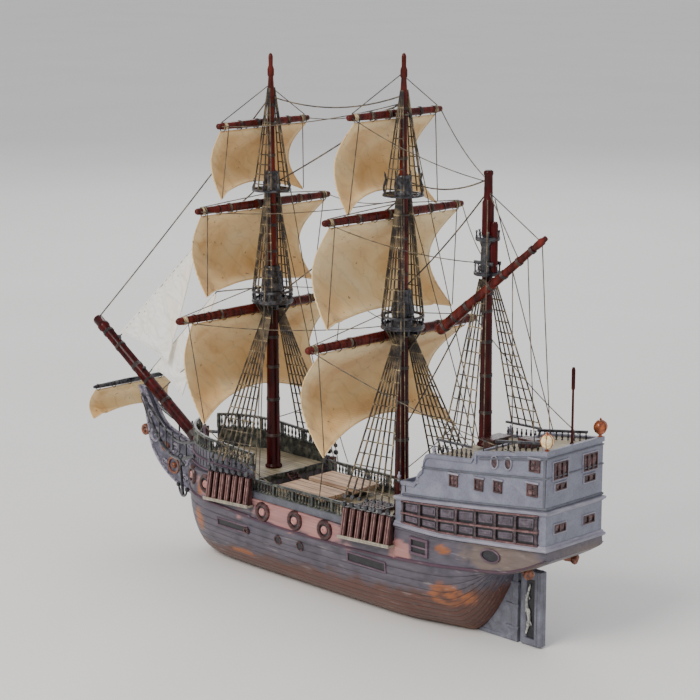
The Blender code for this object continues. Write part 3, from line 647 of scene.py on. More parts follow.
hull_material = hull_paint()
slate_material = plain_paint("slate_paint", (72, 73, 83), (86, 88, 98), (102, 104, 115), size=9)
lavender_material = plain_paint("lavender_paint", (100, 100, 114), (117, 119, 135), (135, 137, 151), size=14)
moulding_material = plain_paint("moulding_paint", (62, 44, 58), (88, 66, 80), (124, 104, 116),
                                grain=(6, 6, 1))
ledge_material = plain_paint("ledge_paint", (102, 100, 114), (136, 134, 148), (160, 157, 168),
                             grain=(5, 5, 1))
panel_material = plain_paint("panel_paint", (46, 38, 47), (84, 74, 85), (120, 108, 120))
# The pinkish ledges between the gallery's window rows are painted highlight: the light that their projecting
# tops catch.
ledge_highlight_material = plain_paint("divider_painted_highlight", (60, 36, 38), (104, 71, 73), (146, 113, 113))
lattice_material = plain_paint("lattice_paint", (24, 18, 24), (58, 44, 50), (112, 92, 96), 4,
                               smooth=0.22, rough=0.45)
frame_material = plain_paint("frame_paint", (26, 12, 14), (60, 30, 30), (112, 76, 74), 4,
                             smooth=0.22, rough=0.45)
pane_material = plain_paint("pane_paint", (18, 10, 14), (58, 34, 40), (150, 118, 118), 4,
                            smooth=0.08, rough=0.3)
dark_material = plain_paint("port_dark", (12, 12, 16), (24, 24, 30), (44, 44, 52), 3, smooth=0.3, rough=0.5)
rose_material = plain_paint("rose_paint", (142, 87, 87), (184, 127, 122), (212, 168, 160))
# The rail and top paints are near black; their lightest shade is a painted highlight, pale patches for the
# gloss on the dark paint.
rail_material = plain_paint("rail_paint", (22, 24, 26), (46, 50, 48), (128, 128, 112), smooth=0.2, rough=0.45)
top_material = plain_paint("top_paint", (12, 12, 17), (30, 30, 38), (104, 104, 108), smooth=0.18, rough=0.42)
keel_material = plain_paint("keel_paint", (78, 77, 89), (102, 103, 115), (127, 130, 143), size=10)
carved_material = plain_paint("carved_paint", (40, 38, 52), (78, 76, 92), (124, 120, 136),
                              smooth=0.25, rough=0.5)
# The spar varnish comes as a darker copy and a lighter one. The lighter one is painted light, for the top
# light on the yards, upper masts and lateen.
spar_material = varnished_wood("spar_varnish", *shades((12, 3, 4), (80, 15, 15)))
lit_spar_material = varnished_wood("lit_spar_varnish", *shades((30, 9, 8), (112, 38, 30)))
# The chain plates' pale ribs are painted highlights: pale stripes for the light on their rounded bars.
highlight_rib_material = plain_paint("rib_painted_highlight", (92, 58, 56), (136, 96, 92), (180, 142, 136), size=4)
channel_material = plain_paint("channel_paint", (26, 10, 10), (54, 24, 22), (104, 68, 64), 4,
                               smooth=0.2, rough=0.42, grain=(1, 1, 5))
cream_material = plain_paint("cream_trim", (116, 108, 96), (156, 148, 132), (188, 181, 165), size=4)
deck_material = deck_wood("deck_boards", *shades((112, 100, 80), (196, 184, 156)))
hatch_material = deck_wood("hatch_boards", *shades((140, 108, 84), (218, 186, 158)), plank=9.3)
brass_material = cast_metal("copper_trim", *shades((70, 26, 16), (176, 92, 46)), 0.3, 0.18, 0.4)
gilt_material = cast_metal("bracket_gilt", *shades((48, 20, 16), (146, 84, 54)), 0.1, 0.25, 0.5)
lamp_material = cast_metal("lantern_glass", *shades((216, 170, 92), (250, 238, 196)), 0.0, 0.08, 0.25)
scroll_material = cast_metal("scroll_trim", *shades((92, 94, 98), (206, 206, 196)), 0.1, 0.25, 0.5)
# The beakhead carving is its own blue-purple, made paler in part as a painted highlight on the raised
# scrolls.
carving_material = cast_metal("carving_trim", *shades((58, 54, 72), (160, 154, 168)), 0.1, 0.25, 0.5)
sail_shades = shades((214, 168, 106), (240, 206, 148), (252, 230, 184), (104, 62, 32))
# The jibs' near-white cloth is painted light: a paler copy of the sailcloth, for the strong light on the
# jibs.
lit_jib_shades = shades((249, 242, 226), (254, 251, 243), (255, 254, 251), (140, 110, 80))
sail_material = sail_cloth("sailcloth", *sail_shades)
lit_jib_material = sail_cloth("lit_jib_sailcloth", *lit_jib_shades)
# The pale patches and twist bands of these cords are painted highlights.
cord_material = twisted_cord("rigging_cord", *shades((24, 18, 17), (120, 104, 78)))
tarred_material = twisted_cord("tarred_cord", *shades((16, 7, 6), (64, 34, 26)))
# Pale cord. On the ratline knots its paleness is a painted glint; on the yards' end lashings it is their own
# pale colour.
glint_knot_and_lashing_material = twisted_cord("glint_knot_and_lashing_cord", *shades((84, 70, 50), (206, 186, 142)), smooth=0.25)


# ---------------------------------------------------------------- hull

PLANKS = 13                 # strakes between the flat bottom and the wale
SEAM_DEPTH = 0.4
COATS = {
    "slate": srgb(90, 85, 96),
    "deep": srgb(71, 68, 78),
    "brown": srgb(93, 59, 48),
    "tan": srgb(142, 107, 83),
    "rose": srgb(177, 127, 121),
    "amber": srgb(158, 94, 50),
    "dun": srgb(112, 98, 90),
    "seam": srgb(44, 30, 34),
    "trim": srgb(76, 50, 65),
}
# colour, middle along and up, half-length, half-height, and how square its corners are
HULL_PATCHES = (
    ("rose", -72.0, 61.8, 63.0, 9.4, 8.0),
    ("rose", 46.0, 65.0, 13.0, 7.5, 4.0),
    ("rose", -192.0, 68.0, 9.0, 8.0, 3.0),
    ("dun", 140.0, 78.0, 38.0, 12.0, 3.0),
    ("amber", -201.5, 37.0, 6.0, 12.5, 2.0),
    ("amber", -146.0, 18.5, 13.0, 3.0, 2.0),
    ("amber", 88.0, 36.0, 17.0, 11.0, 2.0),
    ("brown", 89.0, 36.0, 10.5, 6.0, 2.0),
    ("amber", 90.0, 36.5, 6.5, 3.4, 2.0),
    ("amber", 88.5, 73.5, 8.0, 3.8, 2.0),
    ("amber", -196.0, 66.0, 5.0, 6.0, 2.0),
)


def hull_levels():
    """Levels up the section, with a groove at every plank seam and ridges for the wale and rails."""
    levels = []
    for plank in range(PLANKS):
        for part, outset in ((0.0, -SEAM_DEPTH), (0.07, 0.0), (0.36, 0.12), (0.64, 0.12), (0.93, 0.0)):
            levels.append((math.sin(math.pi / 2 * (plank + part) / PLANKS), outset if plank or part else 0.0))
    levels += [(1.0, 0.0), (1.012, 0.9), (1.03, 1.4), (1.06, 1.6), (1.09, 1.4), (1.108, 0.9), (1.12, 0.1)]
    levels += [(level, 0.0) for level in (1.18, 1.26, 1.34, 1.42, 1.5, 1.58, 1.66, 1.74, 1.82, 1.9)]
    return levels + [(1.915, 0.7), (1.95, 0.9), (1.985, 0.7), (2.0, 0.0)]


def hull_stations():
    bow = [BOW_START_X - (BOW_START_X - STEM_X) * math.sin(math.radians(a)) for a in spread(90, 4, 26)]
    middle = spread(-178, FORECASTLE_AFT_X, 14) + [FORECASTLE_AFT_X + 0.4]
    waist = spread(-127, CASTLE_FRONT_X - 0.4, 44)
    stern = spread(CASTLE_FRONT_X, 100, 18) + spread(103, STERNPOST_X - 0.3, 12)
    return bow + middle + waist + stern + spread(STERNPOST_X + 0.3, TRANSOM_X, 16)


def coat_colour(x, y, z, seam):
    """The paint at a point: slate above brown planking, with worn patches, and dark in the seams."""
    rough = noise.noise(Vector((x, y * 3, z)) * 0.07) + 0.5 * noise.noise(Vector((x, y, z * 2)) * 0.21)
    water_z = 24 + 0.06 * (x + 75) + 12 * (max(0.0, x - 40) / 85) ** 2
    below = smooth_step(5.5, -5.5, z - water_z + 7 * rough)
    upper = Vector(COATS["slate"]).lerp(Vector(COATS["deep"]), smooth_step(0.1, 0.9, abs(rough) * 1.3))
    brown = Vector(COATS["brown"]).lerp(Vector(COATS["tan"]), smooth_step(5, 1, z) * 0.7)
    colour = upper.lerp(brown, below)
    for name, along, up, half_length, half_height, power in HULL_PATCHES:
        across, rise = abs((x - along) / half_length), abs((z - up) / half_height)
        reach = (across ** power + rise ** power) ** (1 / power)
        colour = colour.lerp(Vector(COATS[name]), 0.92 * smooth_step(1.12, 0.82, reach + 0.42 * rough))
    if seam:
        colour = colour.lerp(Vector(COATS["seam"]), 0.75)
    return colour


def paint_hull(obj):
    """Stores the paint of every vertex, which the planking's material reads."""
    coat = obj.data.color_attributes.new("coat", "FLOAT_COLOR", "POINT")
    for vertex, value in zip(obj.data.vertices, coat.data):
        x, y, z = vertex.co.x / MM - MIDSHIP_OFFSET, vertex.co.y / MM, vertex.co.z / MM
        wale, top = wale_z(x), deck_edge_z(x)
        depth = half_beam(x) - abs(y)
        ridge = wale < z < blend(wale, top, 0.122) and depth < -0.3
        rail = z > blend(wale, top, 0.91) and depth < -0.2
        colour = Vector(COATS["trim"]) if ridge or rail else coat_colour(x, y, z, is_seam(x, y, z))
        value.color = (*colour, 1.0)


def is_seam(x, y, z):
    """True on the bottom of a plank seam's groove."""
    low, wale = bottom_z(x), wale_z(x)
    if z >= wale - 0.05 or z <= low + 0.3:
        return False
    angle = math.acos(min(1.0, max(-1.0, 1 - (z - low) / (wale - low))))
    strake = angle / (math.pi / 2) * PLANKS
    expected = section_width(x, angle)
    return abs(strake - round(strake)) < 0.12 and abs(y) < expected - 0.12 * math.sin(angle)


def make_hull():
    shape = Shape()
    ribbed(shape, hull_stations(), hull_levels(), hull_point)
    hull = shape.make("planked_hull", hull_material, slot="hull_paint", replaces=["hull"], flat_from=50)
    paint_hull(hull)


def stem_outline():
    """Centre line of the stem, from the keel's fore end up to the beakhead."""
    rise = [(x, 0, bottom_z(x)) for x in spread(-198, STEM_X, 14)]
    return rise + [(STEM_X - 0.3, 0, z) for z in (32, 40, 52, 64, 78, 92, 104)]


def make_stem():
    shape = Shape()
    rings = []
    line = [Vector(p) for p in stem_outline()]
    for i, point in enumerate(line):
        ahead = (line[min(i + 1, len(line) - 1)] - line[max(i - 1, 0)]).normalized()
        outward = Vector((ahead.z, 0, -ahead.x))
        if outward.x > 0:
            outward = -outward
        front = point + outward * (0.0 if i == 0 else 1.6)
        front.z = max(front.z, 0.05)
        rings.append([point + Vector((3.5, -2.2, 0.6)), front + Vector((0, -1.7, 0)),
                      front + Vector((0, 1.7, 0)), point + Vector((3.5, 2.2, 0.6))])
    shape.loft(rings)
    shape.make("stem_post", moulding_material, slot="hull_paint", bevel=0.4)


def make_deadwood():
    """The keel fin under the run, with its shoe and the sternpost that carries the rudder."""
    shape = Shape()
    stations = spread(87, 127.9, 16)
    outline = [(x, bottom_z(x) - 0.2) for x in stations]
    outline += [(127.9, 0.1), (87.0, 0.1)]
    shape.plate(outline, -2.8, 2.8, lambda a, b, depth: (a, depth, b))
    shape.make("keel_fin", keel_material, slot="keel_paint", replaces=["deadwood"], bevel=0.4)
    trim = Shape()
    trim.block((122.5, -3.4, 0.1), (128.2, 3.4, 56.0))
    trim.block((90.0, -3.4, 0.1), (122.5, 3.4, 3.4))
    for z in (10.0, 28.0, 46.0):
        trim.block((116.0, -3.9, z), (129.2, 3.9, z + 2.4))
    trim.make("stern_post", keel_material, slot="keel_paint", bevel=0.45)


# ---------------------------------------------------------------- ports and openings in the side

RING_PORTS = ((-211.8, 73.0), (-186.5, 70.8), (-114.8, 61.4), (-75.9, 62.2), (-40.7, 62.0))
SMALL_PORTS = ((-96.7, 41.2), (-70.1, 41.9))


def side_point(x, z):
    """The hull's own port surface at a height, with the direction that faces outward."""
    wale, low = wale_z(x), bottom_z(x)
    if z >= wale:
        width = half_beam(x) - 0.4
        lean = 0.0
    else:
        angle = math.acos(1 - (z - low) / (wale - low))
        width = section_width(x, angle)
        lean = -math.cos(angle) * 0.6
    slope = (half_beam(x + 1.0) - half_beam(x - 1.0)) / 2
    return Vector((x, -width, z)), Vector((-slope, -1.0, lean)).normalized()


def mirrored(point, side):
    return Vector((point[0], -side * point[1], point[2]))


def make_ring_ports():
    rings, bosses, holes = Shape(), Shape(), Shape()
    section = [(-1.9, -1.0), (-1.9, 0.7), (-1.2, 1.7), (0.0, 2.1), (1.2, 1.7), (1.9, 0.7), (1.9, -1.0)]
    for side in (PORT, STARBOARD):
        for x, z in RING_PORTS:
            at, out = side_point(x, z)
            at, out = mirrored(at, side), mirrored(out, side)
            rings.ring(at, out, 6.6, section)
            # the dark disc round each boss is painted shade: the shadowed hollow inside the port
            holes.turned([(5.2, -0.8), (5.2, 0.45)], at, out)
            bosses.turned([(3.3, 0.2), (3.3, 1.1), (2.7, 1.8), (1.5, 2.0), (1.2, 1.3)], at, out)
        for x, z in SMALL_PORTS:
            at, out = side_point(x, z)
            at, out = mirrored(at, side), mirrored(out, side)
            rings.ring(at, out, 3.5, [(-0.7, -1.0), (-0.7, 0.6), (0.0, 1.0), (0.7, 0.6), (0.7, -1.0)])
            holes.turned([(3.1, -1.0), (3.1, 0.25)], at, out, sides=18)
    rings.make("ring_ports", frame_material, slot="gallery_paint")
    holes.make("port_hollows", dark_material, slot="rail_paint")
    bosses.make("port_bosses", rose_material, slot="gallery_paint")


def hull_frame(side):
    """Places a point on the hull's side: along, up, and out from the planking."""
    def place(along, up, out):
        at, outward = side_point(along, up)
        return mirrored(at + outward * out, side)

    return place


def rectangle(along, up, half_length, half_height, chamfer=0.0):
    a, b, c = half_length, half_height, chamfer
    if not c:
        corners = ((-a, -b), (a, -b), (a, b), (-a, b))
    else:
        corners = ((-a + c, -b), (a - c, -b), (a, -b + c), (a, b - c),
                   (a - c, b), (-a + c, b), (-a, b - c), (-a, -b + c))
    return [(along + x, up + z) for x, z in corners]


def ellipse(along, up, half_length, half_height, count=20):
    return [(along + half_length * math.cos(2 * math.pi * i / count),
             up + half_height * math.sin(2 * math.pi * i / count)) for i in range(count)]


def make_gun_slots():
    """Long framed slots under the channels, a square lidded port, and the round quarter port."""
    frames, darks, muzzles = Shape(), Shape(), Shape()
    for side in (PORT, STARBOARD):
        place = hull_frame(side)
        for along, up, half_length, half_height in ((-153.0, 41.6, 19.0, 2.6), (7.0, 46.2, 21.0, 3.4)):
            pieces = 6
            for i in range(pieces):
                middle = along - half_length + (i + 0.5) * 2 * half_length / pieces
                part = half_length / pieces
                for edge in (-1, 1):
                    bar = rectangle(middle, up + edge * (half_height + 0.5), part, 0.6)
                    frames.plate(bar, -0.6, 1.1, place)
                darks.plate(rectangle(middle, up, part, half_height), -0.6, 0.35, place)
            for end in (-1, 1):
                bar = rectangle(along + end * half_length, up, 0.7, half_height + 1.1)
                frames.plate(bar, -0.6, 1.1, place)
        at, out = side_point(-134.5, 41.6)
        muzzles.turned([(2.9, -1.0), (3.1, 1.4), (2.5, 2.4), (1.3, 2.5), (1.2, 1.4)], mirrored(at, side),
                       mirrored(out, side))
        lid = rectangle(64.0, 71.2, 7.4, 5.0)
        frames.window_frame(rectangle(64.0, 71.2, 9.6, 7.0), lid, -0.6, 1.7, place)
        darks.plate(lid, -0.6, 0.4, place)
        frames.plate(rectangle(64.0, 70.8, 7.4, 0.7), 0.2, 1.3, place)
        port = ellipse(132.0, 78.0, 7.4, 4.3)
        frames.window_frame(ellipse(132.0, 78.0, 8.8, 5.4), port, -0.6, 1.3, place)
        darks.plate(port, -0.6, 0.35, place)
    frames.make("gun_port_frames", moulding_material, slot="gallery_paint", bevel=0.25)
    darks.make("gun_port_hollows", dark_material, slot="rail_paint")
    muzzles.make("gun_muzzles", frame_material, slot="gallery_paint")


def make_side_mouldings():
    """Thin rubbing strakes along the upper side, from the bow to the castle."""
    shape = Shape()
    bead = [(-0.5, -0.9), (0.5, -0.7), (0.9, 0.0), (0.5, 0.7), (-0.5, 0.9)]
    for side in (PORT, STARBOARD):
        plan = [bow_plan(s, 2.6) for s in spread(0.0, 0.985, 44)]
        path = [(x, side * y, 89.0 + 4.2 * i / 43) for i, (x, y) in enumerate(plan)]
        shape.sweep(path if side == STARBOARD else path[::-1], bead)
        low = [(x, side * y, 81.5 + 2.4 * i / 43) for i, (x, y) in enumerate(plan)]
        shape.sweep(low if side == STARBOARD else low[::-1], bead)
    shape.make("side_mouldings", moulding_material, slot="hull_paint")


# ---------------------------------------------------------------- rails and decks

BALUSTER = ((0.95, 0.0), (0.95, 0.6), (0.45, 1.3), (0.85, 2.6), (1.05, 3.6), (0.7, 5.2), (0.42, 6.6),
            (0.8, 7.2), (0.8, 7.8))


def add_baluster(shape, foot, height):
    scale = height / BALUSTER[-1][1]
    shape.turned([(r, z * scale) for r, z in BALUSTER], foot, sides=10)


def make_balustrade(name, plan, low, mid, top, posts, slot, replaces, wall_material):
    """A planked bulwark, a cap, turned balusters and a rounded handrail along a plan line.

    plan(s, depth) gives x and y; low, mid and top(s) give the heights at the bulwark's foot, its
    cap and the handrail.
    """
    count = 40
    steps = spread(0.0, 1.0, count)
    wall, lining, rail, pickets = Shape(), Shape(), Shape(), Shape()
    rings = []
    for s in steps:
        (x0, y0), (x1, y1) = plan(s, 0.4), plan(s, 2.6)
        rings.append([(x0, y0, low(s)), (x0, y0, mid(s)), (x1, y1, mid(s)), (x1, y1, low(s))])
    wall.loft(rings)
    linings = []
    for s in steps:
        foot, head = low(s) + 0.2, mid(s) - 0.4
        corners = ((2.7, foot), (2.7, head), (3.1, head), (3.1, foot))
        linings.append([plan(s, depth) + (z,) for depth, z in corners])
    lining.loft(linings)
    for base, half, thick, depth in ((mid, 1.8, 1.1, 1.5), (top, 1.5, 1.7, 1.5)):
        path = [plan(s, depth) + (base(s),) for s in steps]
        section = [(-half, 0), (-half * 0.7, -0.35), (half * 0.7, -0.35), (half, 0), (half, thick * 0.55),
                   (half * 0.6, thick), (-half * 0.6, thick), (-half, thick * 0.55)]
        rail.sweep(path, section)
    for i in range(posts):
        s = blend(0.012, 0.988, i / (posts - 1))
        x, y = plan(s, 1.5)
        foot = mid(s) + 1.0
        if i % 6 == 0:
            pickets.block((x - 1.2, y - 1.2, foot), (x + 1.2, y + 1.2, top(s) + 0.2))
        else:
            add_baluster(pickets, (x, y, foot), top(s) - 0.3 - foot)
    wall.make(name + "_bulwark", wall_material, slot=slot, replaces=replaces, bevel=0.3)
    lining.make(name + "_lining", rail_material, slot="rail_paint")
    rail.make(name + "_rails", rail_material, slot="rail_paint")
    pickets.make(name + "_balusters", rail_material, slot="rail_paint")


def make_forecastle_rails():
    def sheer(s, z):
        return z + 8.0 * s * (z - FORECASTLE_Z) / 28

    for side_name, side in SIDES:
        def plan(s, depth, side=side):
            x, y = bow_plan(s, 3.2 + depth)
            return (x, side * y)

        make_balustrade("forecastle_" + side_name, plan, lambda s: 80.3, lambda s: sheer(s, 97.0),
                        lambda s: sheer(s, 106.0), 31, "hull_paint", ["forecastle_wall_" + side_name],
                        slate_material)


def make_waist_rails():
    front, aft = FORECASTLE_AFT_X + 1.5, CASTLE_FRONT_X - 1.5

    def sheer(s, z):
        return z + 0.015 * s * (aft - front) * (z - WAIST_Z) / 17

    for side_name, side in SIDES:
        def plan(s, depth, side=side):
            x = blend(front, aft, s)
            return (x, side * (half_beam(x) - 1.4 - depth))

        make_balustrade("waist_" + side_name, plan, lambda s: WAIST_Z + 0.3, lambda s: sheer(s, 76.5),
                        lambda s: sheer(s, 85.2), 43, "rail_paint", ["waist_rail_" + side_name],
                        slate_material)


def make_panel_battens():
    """Upright battens along the forecastle's bulwark."""
    shape = Shape()
    for side in (PORT, STARBOARD):
        for s in spread(0.06, 0.95, 22):
            x, y = bow_plan(s, 3.3)
            x1, y1 = bow_plan(s + 0.006, 3.3)
            base = 84.0 + 1.2 * s
            head = 88.4 + 4.0 * s
            top = 97.0 + 8.0 * s * 17 / 28 - 0.6
            for low, high in ((base, head), (head + 2.4, top)):
                shape.block((0, 0, low), (1, 1, high), lambda a, b, c, x=x, y=y, x1=x1, y1=y1, side=side:
                            (blend(x, x1, a), side * (blend(y, y1, a) + 0.35 * b), c))
    shape.make("forecastle_battens", moulding_material, slot="hull_paint")


def make_decks():
    waist = Shape()
    ribbed(waist, spread(FORECASTLE_AFT_X + 1, CASTLE_FRONT_X - 1, 30), [0, 1],
           lambda x, level: (x, -(half_beam(x) - 5.0), WAIST_Z + 0.3 + 2.0 * level))
    waist.make("waist_planking", deck_material, slot="deck_wood", replaces=["waist_deck"])
    forecastle = Shape()

    def edge(s, level):
        x, y = bow_plan(s, 6.9)
        return (x, -y, FORECASTLE_Z + 0.3 + 4.0 * level)

    ribbed(forecastle, spread(0.0, 1.0, 50), [0, 1], edge)
    forecastle.make("forecastle_planking", deck_material, slot="deck_wood", replaces=["forecastle_deck"])
    trim = Shape()
    trim.block((FORECASTLE_AFT_X - 1.4, -38.4, 80.2), (FORECASTLE_AFT_X + 0.6, 38.4, 85.0))
    trim.block((CASTLE_FRONT_X - 0.8, -39, 104.0), (CASTLE_FRONT_X + 1.6, 39, 106.4))
    for y in spread(-36, 36, 9):
        trim.block((FORECASTLE_AFT_X - 0.6, y - 0.9, 72.4), (FORECASTLE_AFT_X + 0.4, y + 0.9, 80.4))
    trim.make("deck_edges", rail_material, slot="rail_paint", bevel=0.3)


def make_hatches():
    """The two wide boards on their coamings, the grating between them, and the ladders."""
    for side_name, side in SIDES:
        board, coaming = Shape(), Shape()
        for i in range(5):
            low = 4.0 + i * 5.62
            board.block((-112.0, side * low, 79.4), (-56.0, side * (low + 5.4), 82.4))
        board.block((-110.4, side * 5, 77.9), (-106.4, side * 31, 79.4))
        board.block((-61.6, side * 5, 77.9), (-57.6, side * 31, 79.4))
        coaming.block((-104.0, side * 9.0, 72.5), (-64.0, side * 27.0, 79.0))
        board.make("hatch_boards_" + side_name, hatch_material, slot="deck_wood",
                   replaces=["hatch_board_" + side_name], bevel=0.35)
        coaming.make("hatch_coaming_" + side_name, rail_material, slot="rail_paint", bevel=0.4)
    grating = Shape()
    for x in spread(-44, -18, 8):
        grating.block((x - 0.7, -15, 72.6), (x + 0.7, 15, 75.2))
    for y in spread(-15, 15, 9):
        grating.block((-45, y - 0.7, 72.6), (-17, y + 0.7, 75.0))
    grating.make("grating", channel_material, slot="channel_wood", bevel=0.2)
    ladders = Shape()
    for x0, x1, z0, z1, y in ((-114.0, -129.6, 72.4, 84.0, 0.0), (24.0, 37.2, 72.4, 104.5, -22.0),
                              (24.0, 37.2, 72.4, 104.5, 22.0)):
        for edge in (-5.0, 5.0):
            ladders.rope([(x0, y + edge, z0), (x1, y + edge, z1)], 0.7, sides=4)
        for t in spread(0.1, 0.95, 7):
            ladders.block((blend(x0, x1, t) - 1.0, y - 5, blend(z0, z1, t) - 0.4),
                          (blend(x0, x1, t) + 1.0, y + 5, blend(z0, z1, t) + 0.4))
    ladders.make("ladders", channel_material, slot="channel_wood")


# ---------------------------------------------------------------- stern castle

# along or across, up, half-width and half-height, and for the after windows the number of lights
SIDE_WINDOWS = ((97.0, 130.0, 4.0, 4.6), (120.4, 131.0, 4.0, 4.6), (137.4, 132.4, 3.8, 4.6),
                (167.2, 135.0, 4.6, 4.8), (168.6, 153.6, 4.6, 4.8))
OVAL_WINDOWS = ((134.0, 150.6, 3.6, 5.4), (145.9, 151.6, 3.6, 5.4))
AFTER_WINDOWS = ((17.0, 149.5, 8.0, 6.4, 3), (16.5, 137.0, 6.2, 2.6, 2), (16.5, 105.3, 6.4, 3.2, 2))
GALLERY_FRONT, GALLERY_AFT, GALLERY_PANELS = 47.5, 172.0, 7
TOP_RIM = [(-1.0, 0), (1.0, 0), (1.5, 2.2), (1.5, 3.0), (0.8, 3.4), (-0.8, 3.4), (-1.5, 3.0), (-1.5, 2.2)]


def make_castle_walls():
    """One skin over the quarterdeck and poop, with its top rail standing above the decks."""
    shape = Shape()
    stations = spread(44, 58, 6) + [60, 62, 64, 65, 66.5, 67.2, 68, 69, 70, 71.5, 73] + spread(80, 113, 8)
    stations += [114, 115, 116, 117] + spread(122, CASTLE_AFT_X, 14)

    def point(x, level):
        low, top = gallery_top_z(x) + 0.3, castle_top_z(x) - 2.6
        return (x, -(half_beam(x) - 0.6 - 0.8 * level), blend(low, top, level))

    ribbed(shape, stations, spread(0, 1, 8), point)
    shape.make("castle_walls", lavender_material, slot="castle_paint",
               replaces=["quarter_house", "poop_house"], flat_from=40)
    rim = Shape()
    for side in (PORT, STARBOARD):
        path = [(x, side * (half_beam(x) - 1.4), castle_top_z(x) - 3.0) for x in stations]
        rim.sweep(path, TOP_RIM)
    top = castle_top_z(CASTLE_AFT_X)
    rim.block((CASTLE_AFT_X - 2.4, -33.0, top - 3.0), (CASTLE_AFT_X + 0.7, 33.0, top + 0.6))
    rim.block((POOP_FRONT_X - 1.0, -41.5, QUARTER_TOP_Z - 2.5), (POOP_FRONT_X + 1.2, 41.5, POOP_TOP_Z - 0.2))
    rim.block((43.6, -44.0, 116.0), (45.4, 44.0, 120.0))
    rim.make("castle_rim", lavender_material, slot="castle_paint", bevel=0.4)


def make_gallery_storey():
    shape = Shape()

    def point(x, level):
        low, top = gallery_low_z(x), gallery_top_z(x)
        reach = 0.2 if x >= CASTLE_AFT_X else 0.0
        return (x + reach, -(half_beam(x) - 0.6), blend(low, top, level))

    ribbed(shape, spread(CASTLE_FRONT_X + 0.3, CASTLE_AFT_X, 32), spread(0, 1, 5), point)
    shape.make("gallery_walls", lavender_material, slot="castle_paint", replaces=["gallery_storey"])


CORNICE = [(-0.5, -0.6), (0.8, -0.4), (1.3, 0.5), (2.3, 0.9), (2.6, 2.0), (2.3, 3.0), (1.3, 3.3), (-0.5, 3.3)]
LOW_CORNICE = [(-0.5, 0.0), (2.2, 0.0), (2.7, 0.8), (2.5, 2.2), (1.5, 2.7), (1.2, 3.7), (0.6, 4.2),
               (-0.5, 4.2)]
BEAD = [(-0.5, -0.7), (0.5, -0.6), (0.8, 0.0), (0.5, 0.6), (-0.5, 0.7)]


def make_cornices():
    ledges, beads = Shape(), Shape()
    ledges.sweep(round_castle(CASTLE_FRONT_X + 0.4, lambda x: gallery_top_z(x) - 3.0), CORNICE)
    ledges.sweep(round_castle(CASTLE_FRONT_X + 0.4, gallery_low_z), LOW_CORNICE)
    ledges.make("castle_cornices", ledge_material, slot="castle_paint")
    beads.sweep(round_castle(66.0, lambda x: gallery_top_z(x) + 25.0), BEAD)
    beads.sweep(round_castle(POOP_FRONT_X + 3, lambda x: castle_top_z(x) - 5.2), BEAD)
    beads.sweep(round_castle(46.0, lambda x: gallery_top_z(x) + 1.8), [(o * 1.3, u * 1.4) for o, u in BEAD])
    corner_x = CASTLE_AFT_X - 1.6
    low, high = gallery_top_z(CASTLE_AFT_X), castle_top_z(corner_x) - 5
    for side in (PORT, STARBOARD):
        wall = castle_wall(side)
        beads.block((corner_x - 0.9, 0, low), (corner_x + 0.9, 1.0, high),
                    lambda a, b, c, wall=wall: wall(a, c, b - 0.3))
    beads.make("castle_mouldings", slate_material, slot="castle_paint")


def add_window(frames, panes, outline, inner, place, depth=1.0):
    frames.window_frame(outline, inner, -0.4, depth, place)
    panes.plate(inner, -0.4, 0.25, place)


def make_castle_windows():
    frames, panes, surrounds = Shape(), Shape(), Shape()
    for side in (PORT, STARBOARD):
        wall = castle_wall(side)

        def leaning(a, b, out, wall=wall):
            lean = 0.8 * (b - gallery_top_z(a)) / (castle_top_z(a) - gallery_top_z(a))
            return wall(a, b, out - lean)

        for along, up, half_length, half_height in SIDE_WINDOWS:
            outer = rectangle(along, up, half_length, half_height)
            inner = rectangle(along, up, half_length - 1.1, half_height - 1.1)
            add_window(frames, panes, outer, inner, leaning)
            hood = rectangle(along, up + half_height + 0.8, half_length + 1.0, 0.7)
            surrounds.plate(hood, -0.3, 1.5, leaning)
            frames.plate(rectangle(along, up, 0.35, half_height - 1.0), 0.1, 0.7, leaning)
            frames.plate(rectangle(along, up, half_length - 1.0, 0.35), 0.1, 0.7, leaning)
        for along, up, half_length, half_height in OVAL_WINDOWS:
            outer = ellipse(along, up, half_length, half_height)
            inner = ellipse(along, up, half_length - 1.1, half_height - 1.1)
            surrounds.window_frame(outer, inner, -0.4, 1.1, leaning)
            panes.plate(inner, -0.4, 0.3, leaning)
        for across, up, half_width, half_height, lights in AFTER_WINDOWS:
            inner = rectangle(side * across, up, half_width, half_height)
            outer = rectangle(side * across, up, half_width + 1.0, half_height + 1.0)
            surrounds.window_frame(outer, inner, -0.4, 0.9, after_wall)
            pitch = 2 * half_width / lights
            for i in range(lights):
                middle = side * across - half_width + pitch * (i + 0.5)
                add_window(frames, panes, rectangle(middle, up, pitch / 2, half_height),
                           rectangle(middle, up, pitch / 2 - 0.8, half_height - 0.8), after_wall, 1.2)
    frames.make("castle_window_frames", frame_material, slot="gallery_paint")
    panes.make("castle_window_panes", pane_material, slot="gallery_paint")
    surrounds.make("castle_window_surrounds", ledge_material, slot="castle_paint", bevel=0.2)


